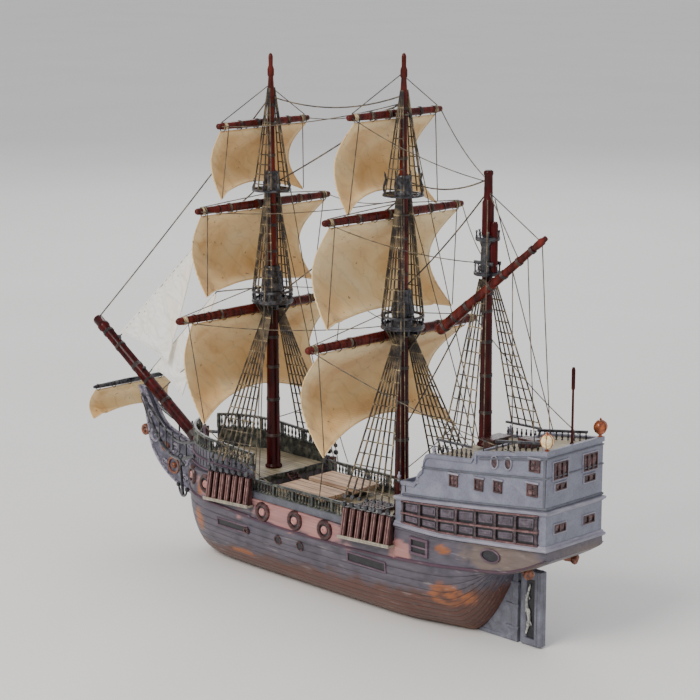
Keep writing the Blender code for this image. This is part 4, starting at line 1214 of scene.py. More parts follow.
def make_gallery(side_name, side):
    """Two rows of panelled windows between posts, over a projecting ledge."""
    wall = castle_wall(side)
    posts, panels, ledges, panes = Shape(), Shape(), Shape(), Shape()

    def place(along, share, out):
        return wall(along, blend(gallery_low_z(along) + 4.2, gallery_top_z(along) - 3.4, share), out)

    pitch = (GALLERY_AFT - GALLERY_FRONT) / GALLERY_PANELS
    for row_low, row_high in ((0.02, 0.42), (0.5, 0.98)):
        middle, half = (row_low + row_high) / 2, (row_high - row_low) / 2
        for i in range(GALLERY_PANELS):
            along = GALLERY_FRONT + pitch * (i + 0.5)
            outer = rectangle(along, middle, pitch / 2 - 1.0, half)
            inner = rectangle(along, middle, pitch / 2 - 2.6, half - 0.085)
            panes.plate(outer, -0.3, 0.35, place)
            panels.plate(inner, 0.2, 0.95, place)
            panels.plate(rectangle(along, middle, pitch / 2 - 4.2, half - 0.16), 0.9, 1.35, place)
    for i in range(GALLERY_PANELS + 1):
        along = GALLERY_FRONT + pitch * i
        posts.plate(rectangle(along, 0.5, 0.95, 0.5), -0.3, 1.9, place)
        for share in (0.03, 0.4, 0.52, 0.95):
            posts.plate(rectangle(along, share, 1.5, 0.025), -0.3, 2.3, place)
    steps = spread(GALLERY_FRONT - 1.5, GALLERY_AFT + 1.5, 24)
    for share, reach in ((0.0, 1.9), (0.46, 2.5), (1.0, 1.9)):
        for a, b in zip(steps, steps[1:]):
            ledges.block((a, -0.3, share - 0.03), (b, reach, share + 0.03), lambda x, y, z: place(x, z, y))
    posts.make("gallery_posts_" + side_name, lattice_material, slot="gallery_paint",
               replaces=["gallery_" + side_name])
    panels.make("gallery_panels_" + side_name, panel_material, slot="gallery_paint", bevel=0.25)
    panes.make("gallery_recesses_" + side_name, dark_material, slot="gallery_paint")
    ledges.make("gallery_ledges_" + side_name, ledge_highlight_material, slot="gallery_paint")


FINIAL = [(1.6, 0), (1.6, 1.0), (0.8, 1.6), (1.5, 3.0), (1.6, 4.2), (0.7, 5.4), (0.9, 6.2), (0.3, 7.4)]


def make_castle_tops():
    """Planked decks above the castle, low rails on them, and the finials at the steps."""
    decks, rails, trims = Shape(), Shape(), Shape()
    for front, aft, count in ((74.0, 116.0, 10), (118.5, 176.5, 12)):
        ribbed(decks, spread(front, aft, count), [0, 1],
               lambda x, level: (x, -(half_beam(x) - 3.0), castle_top_z(x) - 2.7 + 0.8 * level))
    decks.make("castle_decks", deck_material, slot="deck_wood")
    for side in (PORT, STARBOARD):
        steps = spread(76.0, 112.0, 12)
        rails.sweep([(x, side * 39.5, 156.0 + 0.02 * x) for x in steps],
                    [(-1, -0.8), (1, -0.8), (1, 0.8), (-1, 0.8)])
        for x in spread(78.0, 111.0, 8):
            add_baluster(rails, (x, side * 39.5, castle_top_z(x)), 6.8)
        for x, z in ((77.0, 147.0), (41.0, 119.0), (61.0, 121.0), (176.0, 164.8)):
            y = side * (half_beam(x) - 1.8)
            trims.turned(FINIAL, (x, y, z), sides=12)
        rails.sweep([(x, side * 24.0, castle_top_z(x) + 5.0) for x in spread(122, 170, 12)],
                    [(-1.1, -1), (1.1, -1), (1.1, 1), (-1.1, 1)])
        for x in spread(123, 169, 9):
            add_baluster(rails, (x, side * 24.0, castle_top_z(x) - 2.0), 6.4)
    rails.make("castle_rails", top_material, slot="top_paint")
    trims.make("castle_finials", ledge_material, slot="castle_paint")
    stand = Shape()
    stand.block((96, -9, 147.5), (106, 9, 156.0))
    stand.block((94.5, -10.5, 155.8), (107.5, 10.5, 157.4))
    stand.block((133, -12, 157), (149, -2, 164.5))
    stand.make("deck_lockers", channel_material, slot="channel_wood", bevel=0.6)


LANTERN_GLOBE = [(1.8, 2.2), (4.0, 4.2), (5.0, 6.6), (5.1, 8.4), (4.3, 10.6), (2.4, 12.4), (1.0, 12.9)]
LANTERN_BARS = ((2.0, 2.6), (4.2, 4.3), (5.3, 6.8), (5.4, 8.4), (4.5, 10.7), (2.4, 12.5))


def make_lanterns():
    for (side_name, side), glass in zip(SIDES, (lamp_material, brass_material)):
        at = (LANTERN_X, side * LANTERN_Y, castle_top_z(LANTERN_X) + 0.4)
        globe, cage = Shape(), Shape()
        globe.turned(LANTERN_GLOBE, at)
        cage.turned([(2.0, 0), (2.0, 0.8), (1.1, 1.2), (1.1, 2.0), (2.4, 2.5), (2.2, 3.0)], at, sides=16)
        cage.turned([(2.6, 12.0), (2.0, 13.0), (0.7, 13.4), (0.9, 14.0), (0.2, 14.9)], at, sides=16)
        for i in range(6):
            turn = math.radians(60 * i)
            bar = [Vector(at) + Vector((r * math.cos(turn), r * math.sin(turn), z)) for r, z in LANTERN_BARS]
            cage.rope(bar, 0.28)
        globe.make("lantern_globe_" + side_name, glass, slot="lantern_brass",
                   replaces=["lantern_" + side_name])
        cage.make("lantern_cage_" + side_name, brass_material, slot="lantern_brass")
    shape = Shape()
    foot = castle_top_z(FLAGSTAFF_X)
    shape.turned([(1.6, 0), (1.6, 1.2), (1.0, 2.0), (0.85, 206 - foot), (1.45, 207 - foot), (1.5, 221 - foot),
                  (0.9, 223.2 - foot)], (FLAGSTAFF_X, 0, foot), sides=14)
    shape.make("ensign_staff", spar_material, slot="spar_wood", replaces=["flagstaff"])


BRACKET = [(2.2, -6), (3.4, -4), (4.0, 0), (3.2, 4.0), (4.2, 6.0), (4.2, 8.0), (3.2, 9.0), (2.4, 8.2)]


def make_counter_trim():
    """Gilt brackets under the counter and the ball at the rudder's head, whose pale cream is a painted
    highlight.
    """
    shape, ball = Shape(), Shape()
    for side in (PORT, STARBOARD):
        shape.turned(BRACKET, (153, side * 24, 68.6), (0.75, side * 0.35, -0.2))
    shape.make("counter_brackets", gilt_material, slot="lantern_brass")
    # its pale cream colour is a painted highlight
    ball.ball((129.5, 0, 60.6), 3.6)
    ball.make("sternpost_ball", cream_material, slot="lantern_brass")


# ---------------------------------------------------------------- bow

# the knee's edge, from the stem out along its foot to the tip, then back along its top
HEAD_LOW_EDGE = ((-240.7, 36), (-262, 42), (-284, 50), (-301, 62), (-311, 76), (-315, 92), (-319, 108),
                 (-327, 127))
HEAD_TOP_EDGE = ((-320, 126), (-309, 108), (-297, 95), (-275, 87), (-240.7, 76))
# along, up, size and thickness of the coils carved on each side of the knee
HEAD_COILS = ((-303.5, 84.0, 8.6, 1.8), (-310.5, 103.0, 4.6, 1.2), (-276.7, 77.0, 5.6, 1.5),
              (-262.0, 68.0, 5.8, 1.4), (-264.0, 52.0, 4.4, 1.1), (-292.0, 62.0, 3.6, 1.0))
HEAD_RAILS = ((((-214, 34, 88), (-246, 25, 78), (-276, 14, 78), (-304, 6, 92), (-323, 3, 117)), 1.7),
              (((-214, 33, 100), (-246, 24, 93), (-276, 13, 94), (-303, 6, 106), (-322, 3.5, 120)), 1.5))
SCROLL_X, SCROLL_Z, SCROLL_SIZE = -319.5, 86.0, 5.4


def add_coil(shape, centre, size, thick):
    """A carved volute, flat against the side, thinning towards its middle."""
    x, y, z = centre
    steps = spread(0, 0.9, 26)
    line = [(x + size * (1 - t) * math.cos(10 * t), y, z + size * (1 - t) * math.sin(10 * t)) for t in steps]
    shape.rope(line, [thick * (1 - 0.6 * t) for t in steps], sides=8)


def head_edges(y):
    """The low and top edges of the knee as smooth lines at one distance from the middle."""
    return [curved([(along, y, up) for along, up in edge], count)
            for edge, count in ((HEAD_LOW_EDGE, 30), (HEAD_TOP_EDGE, 20))]


def make_beakhead():
    """The carved knee under the bowsprit, its scrollwork, the curved head rails and the scroll."""
    knee, carving, gilding, rails = Shape(), Shape(), Shape(), Shape()
    outline = head_edges(0)[0] + head_edges(0)[1]
    knee.plate([(p.x, p.z) for p in outline], -3.6, 3.6, lambda a, b, depth: (a, depth, b))
    knee.make("beakhead_knee", carved_material, slot="castle_paint", replaces=["beakhead"], bevel=0.8)
    for side in (PORT, STARBOARD):
        for edge in head_edges(side * 3.7):
            carving.rope([point + Vector((1.4, 0, 0.4)) for point in edge], 1.3, sides=8)
        for along, up, size, thick in HEAD_COILS:
            add_coil(carving, (along, side * 3.9, up), size, thick)
        for along, up, size in ((-278.8, 61.6, 7.2), (-252.0, 57.0, 5.4)):
            gilding.ring((along, side * 4.0, up), (0, 1, 0), size,
                         [(-1.2, -0.9), (-1.2, 0.9), (0.6, 1.1), (0.6, -1.1)])
            gilding.ball((along, side * 3.8, up), size * 0.42)
        add_coil(gilding, (-290.9, side * 4.1, 76.0), 5.0, 1.5)
        for route, thick in HEAD_RAILS:
            rails.rope(curved([(x, side * y, z) for x, y, z in route], 28), thick, sides=8)
        for t in spread(0.15, 0.8, 5):
            x = blend(-222, -306, t)
            y = side * blend(30, 7, t)
            rails.rope([(x, y, 80 + 6 * t * t), (x, y, 97 + 6 * t * t)], 0.8)
    carving.make("beakhead_carving", carving_material, slot="castle_paint")
    gilding.make("beakhead_rosettes", gilt_material, slot="lantern_brass")
    rails.make("head_rails", top_material, slot="top_paint")
    make_scroll()


def make_scroll():
    """The plain carved scroll on the fore edge of the knee."""
    scroll = Shape()
    steps = spread(0, 0.92, 40)
    for y in (-2.6, 0.0, 2.6):
        spiral = [(SCROLL_X + SCROLL_SIZE * (1 - t) * math.cos(11 * t), y,
                   SCROLL_Z + SCROLL_SIZE * (1 - t) * math.sin(11 * t)) for t in steps]
        scroll.rope(spiral, spread(1.9, 0.9, len(steps)), sides=8)
    scroll.ball((SCROLL_X - 0.5, 0, SCROLL_Z + 0.5), 3.0)
    scroll.make("figurehead_scroll", gilt_material, slot="lantern_brass", replaces=["figurehead"])


def make_anchors():
    shape = Shape()
    for side in (PORT, STARBOARD):
        head, crown = Vector((-226, side * 40.5, 84)), Vector((-219, side * 44, 54))
        shape.rope([head, crown], [1.1, 1.5], sides=8)
        shape.rope([head + Vector((-8, side * -6, -3)), head + Vector((8, side * 3, -3))], 1.4, sides=8)
        arms = [crown + Vector((10 * math.sin(a), side * 3.5 * math.sin(a), 10 * (1 - math.cos(a)))) for a in
                (math.radians(d) for d in spread(-75, 75, 13))]
        shape.rope(arms, [blend(0.7, 1.5, 1 - abs(i - 6) / 6) for i in range(13)], sides=8)
        for tip in (arms[0], arms[-1]):
            shape.ball(tip, 2.2, sides=8)
        shape.ring(head + Vector((0, 0, 2.6)), (1, 0, 0), 2.2,
                   [(-0.4, -0.4), (-0.4, 0.4), (0.4, 0.4), (0.4, -0.4)])
    shape.make("anchors", top_material, slot="top_paint")


def make_channels(side_name, side):
    """Boards along the side that spread the shrouds, with ribbed chain plates and deadeyes."""
    for mast, front, aft, low_z in (("fore", -180.0, -128.0, 60.0), ("main", -17.0, 36.0, 62.0)):
        boards, plates, ribs, eyes = Shape(), Shape(), Shape(), Shape()

        def place(x, out, z, side=side, front=front):
            return (x, side * (half_beam(x) + 0.3 + out), z + 0.06 * (x - front))

        low, high = low_z + 1.5, low_z + 25.5
        xs = spread(front - 2, aft + 2, 14)
        for a, b in zip(xs, xs[1:]):
            boards.block((a, -0.6, low_z), (b, 7.2, low_z + 1.5), place)
            boards.block((a, 5.6, low_z + 1.5), (b, 7.4, low_z + 2.7), place)
        for x in spread(front + 2.4, aft - 2.4, 7):
            plates.block((0, 0, 0), (1, 1, 1), lambda a, b, c, x=x, low=low, high=high, place=place: place(
                x - 2.7 + 5.4 * a + 2.0 * c, blend(5.6, 3.6, c) * b + 0.2, blend(low, high, c)))
            # pale ribs on each plate: painted highlights
            for edge in (-1.2, 1.2):
                ribs.rope([place(x + edge, 5.9, low + 0.6), place(x + edge + 2.0, 4.0, high - 0.8)], 0.55)
            at = Vector(place(x + 2.2, 5.0, low_z + 28.6))
            upper = at + Vector((0.4, -side * 0.6, 6.2))
            eyes.turned([(1.3, -1.2), (2.2, -0.9), (2.2, 0.9), (1.3, 1.2)], at, (0, 1, 0), sides=14)
            eyes.turned([(1.0, -1.0), (1.7, -0.8), (1.7, 0.8), (1.0, 1.0)], upper, (0, 1, 0), sides=12)
        stem = f"{mast}_{{}}_{side_name}"
        boards.make(stem.format("channel_board"), cream_material, slot="channel_wood",
                    replaces=[f"{mast}_channel_{side_name}"], bevel=0.4)
        plates.make(stem.format("chain_plates"), channel_material, slot="channel_wood", bevel=0.6)
        ribs.make(stem.format("chain_ribs"), highlight_rib_material, slot="channel_wood")
        eyes.make(stem.format("deadeyes"), top_material, slot="top_paint")


def make_rudder():
    """The rudder: a raised frame round a dark panel with pale scrollwork, and its post."""
    frame_piece, panel, scroll = Shape(), Shape(), Shape()
    low, top, fore, aft = RUDDER_LOW_Z, RUDDER_TOP_Z, RUDDER_AXIS_X - 0.9, RUDDER_AFT_X
    outer = [(fore, low), (aft, low), (aft, top), (fore, top)]
    inner = [(fore + 2.2, low + 5), (aft - 6.2, low + 5), (aft - 6.2, top - 7), (fore + 2.2, top - 7)]
    strip = [(aft - 5.2, low + 0.2), (aft - 3.4, low + 0.2), (aft - 3.4, top), (aft - 5.2, top)]
    for side in (PORT, STARBOARD):
        def place(along, up, depth, side=side):
            return (along, side * depth, up)

        frame_piece.window_frame(outer, inner, 0.0, 3.4, place)
        frame_piece.plate(strip, 3.2, 4.0, place)
        spine = curved([(fore + 4.0, side * 2.1, low + 8), (fore + 7.0, side * 2.3, low + 20),
                        (fore + 4.2, side * 2.3, low + 33), (fore + 7.4, side * 2.1, low + 48)], 24)
        scroll.rope(spine, [0.7 + 0.7 * math.sin(math.pi * i / 23) for i in range(24)], sides=8)
        for place_on, turn in ((0.25, 1), (0.5, -1), (0.75, 1)):
            centre = spine[int(23 * place_on)]
            coil = [centre + (1 - t) * Vector((turn * 2.8 * math.cos(8 * t), 0, 3.6 * math.sin(8 * t)))
                    for t in spread(0, 0.85, 14)]
            scroll.rope(coil, 0.55)
    panel.block((fore + 1, -1.6, low + 3), (aft - 5, 1.6, top - 5))
    frame_piece.turned([(3.6, low), (3.6, top - 1), (3.0, top)], (RUDDER_AXIS_X, 0, 0), sides=20)
    frame_piece.make("rudder_frame", keel_material, "rudder", slot="keel_paint", replaces=["rudder"],
                     bevel=0.4)
    panel.make("rudder_panel", dark_material, "rudder", slot="rail_paint")
    scroll.make("rudder_scrollwork", scroll_material, "rudder", slot="lantern_brass")


# ---------------------------------------------------------------- masts and tops

UP, ACROSS = (0, 0, 1), (0, 1, 0)
# each tall mast's place along the ship, and the heights of its foot, crosstree and truck
TALL_MASTS = (("fore", FORE_X, FORE_FOOT_Z, FORE_CROSSTREE_Z, FORE_TRUCK_Z),
              ("main", MAIN_X, MAIN_FOOT_Z, MAIN_CROSSTREE_Z, MAIN_TRUCK_Z))
HOOK_RISES = {"fore": 8.6, "main": 17.0}
TOP_RAIL_R, TREE_RING_R = 16.4, 15.2
# turned shapes as (radius, height) and ring sections as (out, up)
TOP_FLOOR = [(5.0, 0), (11.0, 0.1), (17.0, 0.8), (17.5, 1.4), (17.5, 2.6), (17.0, 3.1), (5.0, 3.2)]
TOP_HANDRAIL = [(-1.1, -0.9), (0.9, -0.9), (1.1, 0), (0.9, 0.9), (-1.1, 0.9)]
TOP_KERB = [(-0.7, -0.9), (0.7, -0.9), (0.7, 0.5), (-0.7, 0.5)]
TOP_CAP = [(8.2, 3), (7.8, 4), (7.0, 9), (8.8, 11), (9.0, 13), (6.3, 27.5), (6.9, 28.4), (6.9, 30.6),
           (6.2, 32)]
TREE_RING = [(-1.4, -0.9), (1.2, -0.8), (1.3, 0.4), (0.6, 0.9), (-1.4, 0.9)]
TREE_CAP = [(4.2, 0), (6.9, 0.4), (6.9, 2.6), (6.5, 3.4), (5.3, 13.6), (5.9, 14.4), (5.9, 16), (5.4, 17)]
MIZZEN_TOP = [(6.0, 0), (10.0, 0.8), (10.5, 1.6), (10.5, 3.0), (9.6, 3.6), (5.6, 4.2), (4.9, 22), (6.2, 26),
              (9.0, 27), (9.5, 28.2), (9.2, 30.2), (5.5, 31)]
MIZZEN_HEAD_Z = 360.0


def around(count, first=0.0):
    """Angles evenly spaced round a circle; first is in steps."""
    return [2 * math.pi * (i + first) / count for i in range(count)]


def heading(angle):
    return Vector((math.cos(angle), math.sin(angle), 0))


def make_spar(name, profile, at, material=None, axis=UP, body="ship", replaces=(), sides=26):
    """A turned spar; the profile gives (radius, distance along the axis)."""
    shape = Shape()
    shape.turned(profile, at, axis, sides)
    return shape.make(name, material or spar_material, body, slot="spar_wood", replaces=replaces,
                      flat_from=50)


def add_band(shape, at, axis, radius, width=1.6, proud=0.45):
    """A lashing of four turns round a spar."""
    turns = 4
    for i in range(turns):
        shift = (i - (turns - 1) / 2) * width / turns
        middle = Vector(at) + Vector(axis).normalized() * shift
        thick = width / turns / 2
        section = [(-0.5, -thick), (proud * 0.6, -thick), (proud, 0.0), (proud * 0.6, thick), (-0.5, thick)]
        shape.ring(middle, axis, radius, section)


def make_lower_mast(name, mast_x, low_z, high_z, foot_r, head_r):
    height = high_z - low_z
    step = [(foot_r + 1.2, 0), (foot_r + 1.4, 0.8), (foot_r + 1.2, 1.8), (foot_r + 0.4, 2.4), (foot_r, 3.2)]
    taper = [(blend(foot_r, head_r, 0.25), height * 0.3), (blend(foot_r, head_r, 0.6), height * 0.6)]
    profile = step + taper + [(head_r, height)]
    make_spar(name + "_mast_lower", profile, (mast_x, 0, low_z), replaces=[name + "_lower_mast"])
    bands = Shape()
    for share in (0.2, 0.42, 0.62, 0.8):
        add_band(bands, (mast_x, 0, low_z + height * share), UP, blend(foot_r, head_r, share), 2.6)
    bands.make(name + "_wooldings", tarred_material, slot="rigging_cord")


def make_top(name, mast_x, foot_z):
    """A round top: planked floor, an arcaded rail, and the ribbed cap that the topmast stands in."""
    floor, rail, cap = Shape(), Shape(), Shape()
    at = (mast_x, 0, foot_z)
    floor.turned(TOP_FLOOR, at, sides=40)
    rail.ring((mast_x, 0, foot_z + 10.9), UP, TOP_RAIL_R, TOP_HANDRAIL)
    rail.ring((mast_x, 0, foot_z + 4.0), UP, TOP_RAIL_R, TOP_KERB)
    for angle in around(14):
        x, y = mast_x + 16.3 * math.cos(angle), 16.3 * math.sin(angle)
        add_baluster(rail, (x, y, foot_z + 4.4), 5.9)
    cap.turned(TOP_CAP, at, sides=32)
    for angle in around(8):
        way = heading(angle)
        foot = Vector(at) + way * 9.0 + Vector((0, 0, 13.5))
        head = Vector(at) + way * 6.6 + Vector((0, 0, 27.6))
        cap.rope([foot, head], 0.7)
    for side in (PORT, STARBOARD):
        floor.block((mast_x - 12, side * 4.2, foot_z - 3.4), (mast_x + 12, side * 6.4, foot_z + 0.4))
        x = mast_x + side * 5.6
        floor.block((x - 1, -12, foot_z - 2.2), (x + 1, 12, foot_z + 0.3))
    floor.make(name + "_top_floor", top_material, slot="top_paint", replaces=[name + "_top"], flat_from=25)
    rail.make(name + "_top_rail", top_material, slot="top_paint")
    cap.make(name + "_top_cap", top_material, slot="top_paint", flat_from=40)


def make_crosstree(name, mast_x, z, hook_rise):
    """A ring on three crossed bars, with hooks that stand round it, and the cap above."""
    ring_piece, cap = Shape(), Shape()
    ring_piece.ring((mast_x, 0, z + 1.5), UP, TREE_RING_R, TREE_RING)
    middle = Vector((mast_x, 0, z + 1.4))
    for angle in around(12)[:6]:
        reach = heading(angle) * TREE_RING_R
        ring_piece.rope([middle - reach, middle + reach], 0.95, sides=4)
    for angle in around(8, 0.5):
        foot = Vector((mast_x + 15.0 * math.cos(angle), 15.0 * math.sin(angle), z + 1.6))
        lean = heading(angle)
        hook = [foot]
        for out, rise in ((1.6, 0.3), (-0.4, 0.7), (0.9, 1.0)):
            hook.append(foot + lean * out + Vector((0, 0, hook_rise * rise)))
        ring_piece.rope(curved(hook, 8), [0.7] * 7 + [0.3])
    cap.turned(TREE_CAP, (mast_x, 0, z), sides=28)
    ring_piece.make(name + "_crosstree_ring", top_material, slot="top_paint", replaces=[name + "_crosstree"])
    cap.make(name + "_crosstree_cap", top_material, slot="top_paint")


def make_upper_mast(name, mast_x, low_z, truck_z, crosstree_z):
    """The topmast and the topgallant mast above it, turned as one pole with a button at its truck."""
    length, narrow = truck_z - low_z, truck_z - 38 - low_z
    step = crosstree_z - low_z
    topmast = [(4.0, 0), (3.8, step + 17), (3.1, step + 18.5), (3.0, step + 21)]
    topgallant = [(2.6, narrow), (3.1, narrow + 3), (2.1, length - 19), (2.8, length - 18)]
    head = [(2.8, length - 13), (1.8, length - 10), (1.9, length - 2.5), (1.2, length - 0.6), (0.5, length)]
    make_spar(name + "_mast_upper", topmast + topgallant + head, (mast_x, 0, low_z), lit_spar_material,
              replaces=[name + "_topmast"])
    bands = Shape()
    lashings = ((low_z + 12, 4.0), (low_z + step * 0.55, 3.9), (crosstree_z + 30, 3.0), (truck_z - 42, 2.6))
    for z, radius in lashings:
        add_band(bands, (mast_x, 0, z), UP, radius, 2.4)
    bands.make(name + "_topmast_lashings", tarred_material, slot="rigging_cord")


def make_tall_masts():
    for name, mast_x, foot_z, tree_z, truck_z in TALL_MASTS:
        make_lower_mast(name, mast_x, foot_z, TOP_Z - 0.3, 5.9, 4.7)
        make_top(name, mast_x, TOP_Z)
        make_upper_mast(name, mast_x, TOP_Z + 32.3, truck_z, tree_z)
        make_crosstree(name, mast_x, tree_z, HOOK_RISES[name])


def make_mizzen():
    foot = castle_top_z(MIZZEN_X) + 0.6
    make_lower_mast("mizzen", MIZZEN_X, foot, MIZZEN_TOP_Z - 0.3, 5.0, 4.0)
    top = Shape()
    top.turned(MIZZEN_TOP, (MIZZEN_X, 0, MIZZEN_TOP_Z), sides=32)
    for angle in around(8):
        for radius, low, high in ((9.2, 3.4, 8.4), (8.4, 30.0, 34.0)):
            x, y = MIZZEN_X + radius * math.cos(angle), radius * math.sin(angle)
            top.rope([(x, y, MIZZEN_TOP_Z + low), (x, y, MIZZEN_TOP_Z + high)], 0.6)
            top.ball((x, y, MIZZEN_TOP_Z + high), 1.0, sides=8)
    for side in (PORT, STARBOARD):
        low = (MIZZEN_X - 9, side * 3.6, MIZZEN_TOP_Z + 9)
        high = (MIZZEN_X + 9, side * 5.4, MIZZEN_TOP_Z + 11.5)
        top.block(low, high)
    top.make("mizzen_top_and_cap", top_material, slot="top_paint", replaces=["mizzen_top"], flat_from=40)
    pole_z = MIZZEN_TOP_Z + 31.3
    length = MIZZEN_HEAD_Z - pole_z
    pole = [(4.6, 0), (4.5, length - 24), (3.4, length - 22), (3.2, length - 4), (3.7, length - 3),
            (3.6, length - 1), (2.6, length)]
    make_spar("mizzen_mast_upper", pole, (MIZZEN_X, 0, pole_z), replaces=["mizzen_topmast"])
    make_spar("mizzen_doubling", [(2.9, 0), (2.8, 36), (2.0, 38)], (MIZZEN_X + 6.6, 0, MIZZEN_TOP_Z + 3.8))


# ---------------------------------------------------------------- yards

YARD_THICKNESS = {"course": (3.1, 4.1), "topsail": (2.8, 3.6), "topgallant": (2.6, 3.3)}    # end, middle
PARRELS = {"course": (5.9, 1.0), "topsail": (4.8, 0.8), "topgallant": (3.7, 0.75)}    # reach, rope radius
# where the lifts meet the mast: ahead of its axis, to the side, and above the yard
LIFT_HEADS = {"course": (16.6, 3.0, 16.0), "topsail": (4.2, 1.2, 8.5), "topgallant": (2.6, 1.2, 30)}
ROBAND = [(-0.2, -0.3), (-0.2, 0.3), (0.25, 0.3), (0.25, -0.3)]


def kind_of(name):
    """The kind of a square sail, from a name such as fore_topsail."""
    return name.split("_")[1]


def make_yard(name):
    """A yard with its end and middle lashings, and the parrel that holds it to the mast."""
    mast_x, yard_z, half = SQUARE_SAILS[name][:3]
    yard_x = mast_x - YARD_OFFSET
    end_r, middle_r = YARD_THICKNESS[kind_of(name)]
    half_profile = [(1.2, half), (2.3, half - 1), (end_r, half - 3), (end_r + 0.1, half - 9),
                    (middle_r, half * 0.3)]
    profile = [(radius, -y) for radius, y in half_profile] + half_profile[::-1]
    make_spar(name + "_spar", profile, (yard_x, 0, yard_z), lit_spar_material, ACROSS, name, [name + "_yard"])
    reach, rope_r = PARRELS[kind_of(name)]
    bands, parrel = Shape(), Shape()
    for side in (PORT, STARBOARD):
        add_band(bands, (yard_x, side * (half - 8), yard_z), ACROSS, end_r + 0.1, 4.0)
        for y, width in ((half * 0.52, 2.2), (8.0, 3.0)):
            radius = blend(middle_r, end_r, max(0, y / half - 0.3) / 0.7)
            add_band(parrel, (yard_x, side * y, yard_z), ACROSS, radius, width)
        parrel.rope([(yard_x + 1.5, side * reach, yard_z), (mast_x, side * reach, yard_z + 0.5),
                     (mast_x + reach * 0.85, side * reach * 0.6, yard_z)], rope_r, sides=8)
    parrel.rope([(mast_x + reach * 0.85, -reach * 0.6, yard_z), (mast_x + reach * 1.08, 0, yard_z),
                 (mast_x + reach * 0.85, reach * 0.6, yard_z)], rope_r, sides=8)
    bands.make(name + "_yard_bands", glint_knot_and_lashing_material, name, slot="rigging_cord")
    parrel.make(name + "_parrel", cord_material, name, slot="rigging_cord")


def make_robands(name, body, centre, half, radius):
    """Small ties that hold the head of a sail to its yard."""
    ties = Shape()
    for y in spread(-half + 2, half - 2, int(half / 7)):
        ties.ring((centre[0], y, centre[1] - 0.8), ACROSS, radius + 0.4, ROBAND)
    ties.make(name, tarred_material, body, slot="rigging_cord")


# ---------------------------------------------------------------- sails

SAIL_COLUMNS, SAIL_ROWS = 48, 40
SAIL_THICK = 0.5
SIMULATION_SCALE = 10.0     # the solver works best on cloth about a metre across
SETTLE_FRAMES = 14
SLACK = 0.012
FARTHEST = 2.2              # how far a point may settle from the sail's drawn shape
OUTER_JIB_HEAD, INNER_JIB_HEAD = (-247.0, 265.0), (-222.0, 226.0)


def square_sail_point(name):
    mast_x, yard_z, _, head_half, clew_half, clew_z, clew_dx, leech, belly, arch = SQUARE_SAILS[name]
    head_z, head_x = yard_z - 4.6, mast_x - YARD_OFFSET

    def point(u, v):
        y = u * blend(head_half, clew_half, v) * (1 - 0.07 * math.sin(math.pi * v))
        z = blend(head_z, clew_z, v) + arch * (1 - u ** 2) * v ** 3
        fullness = math.sin(math.pi * (0.12 + 0.76 * v) * v ** 0.5)
        forward = leech * math.sin(math.pi * v) + belly * (1 - u ** 2) * fullness + (1 - u ** 2) * v * 10
        return (blend(head_x, mast_x + clew_dx, v) - forward, y, z)

    return point


def spritsail_point(u, v):
    drop = 27 * v * (0.72 + 0.28 * u ** 2)
    return (SPRITSAIL_X - 1.0 - 11 * math.sin(math.pi * 0.8 * v), u * (46 - 2 * v), SPRITSAIL_Z - 3.6 - drop)


def jib_point(tack, clew, head, belly, drift):
    def point(u, v):
        w, reach = 0.5 * (u + 1), 1 - 0.97 * v
        low_x, low_z = blend(tack[0], clew[0], w), blend(tack[1], clew[1], w)
        lift = 6 * math.sin(math.pi * w) * (1 - v)
        side = drift * w * reach + belly * math.sin(math.pi * w) * math.sin(math.pi * (0.15 + 0.8 * v))
        return (blend(head[0], low_x, reach), side, blend(head[1], low_z, reach) + lift)

    return point


def settle(obj, grip):
    """Lets the cloth settle under its own weight, held where grip(u, v) is near 1."""
    mesh = obj.data
    start = [v.co.copy() for v in mesh.vertices]
    group = obj.vertex_groups.new(name="held")
    for row in range(SAIL_ROWS + 1):
        for column in range(SAIL_COLUMNS + 1):
            weight = grip(column / SAIL_COLUMNS * 2 - 1, row / SAIL_ROWS)
            group.add([row * (SAIL_COLUMNS + 1) + column], weight, "REPLACE")
    mesh.transform(Matrix.Scale(SIMULATION_SCALE, 4))
    cloth = obj.modifiers.new("Cloth", "CLOTH")
    settings = cloth.settings
    settings.quality = 6
    settings.mass = 0.2
    settings.tension_stiffness = settings.compression_stiffness = 12
    settings.shear_stiffness = 6
    settings.bending_stiffness = 0.08
    settings.vertex_group_mass = "held"
    settings.pin_stiffness = 1.0
    settings.shrink_min = settings.shrink_max = -SLACK
    settings.effector_weights.gravity = 0.4
    cloth.point_cache.frame_start, cloth.point_cache.frame_end = 1, SETTLE_FRAMES
    scene = bpy.context.scene
    for step in range(1, SETTLE_FRAMES + 1):
        scene.frame_set(step)
    shown = obj.evaluated_get(bpy.context.evaluated_depsgraph_get())
    settled = [v.co / SIMULATION_SCALE for v in shown.to_mesh().vertices]
    obj.modifiers.clear()
    obj.vertex_groups.clear()
    scene.frame_set(1)
    for vertex, before, after in zip(mesh.vertices, start, settled):
        move = after - before
        limit = FARTHEST * MM
        vertex.co = before + (move if move.length < limit else move * (limit / move.length))


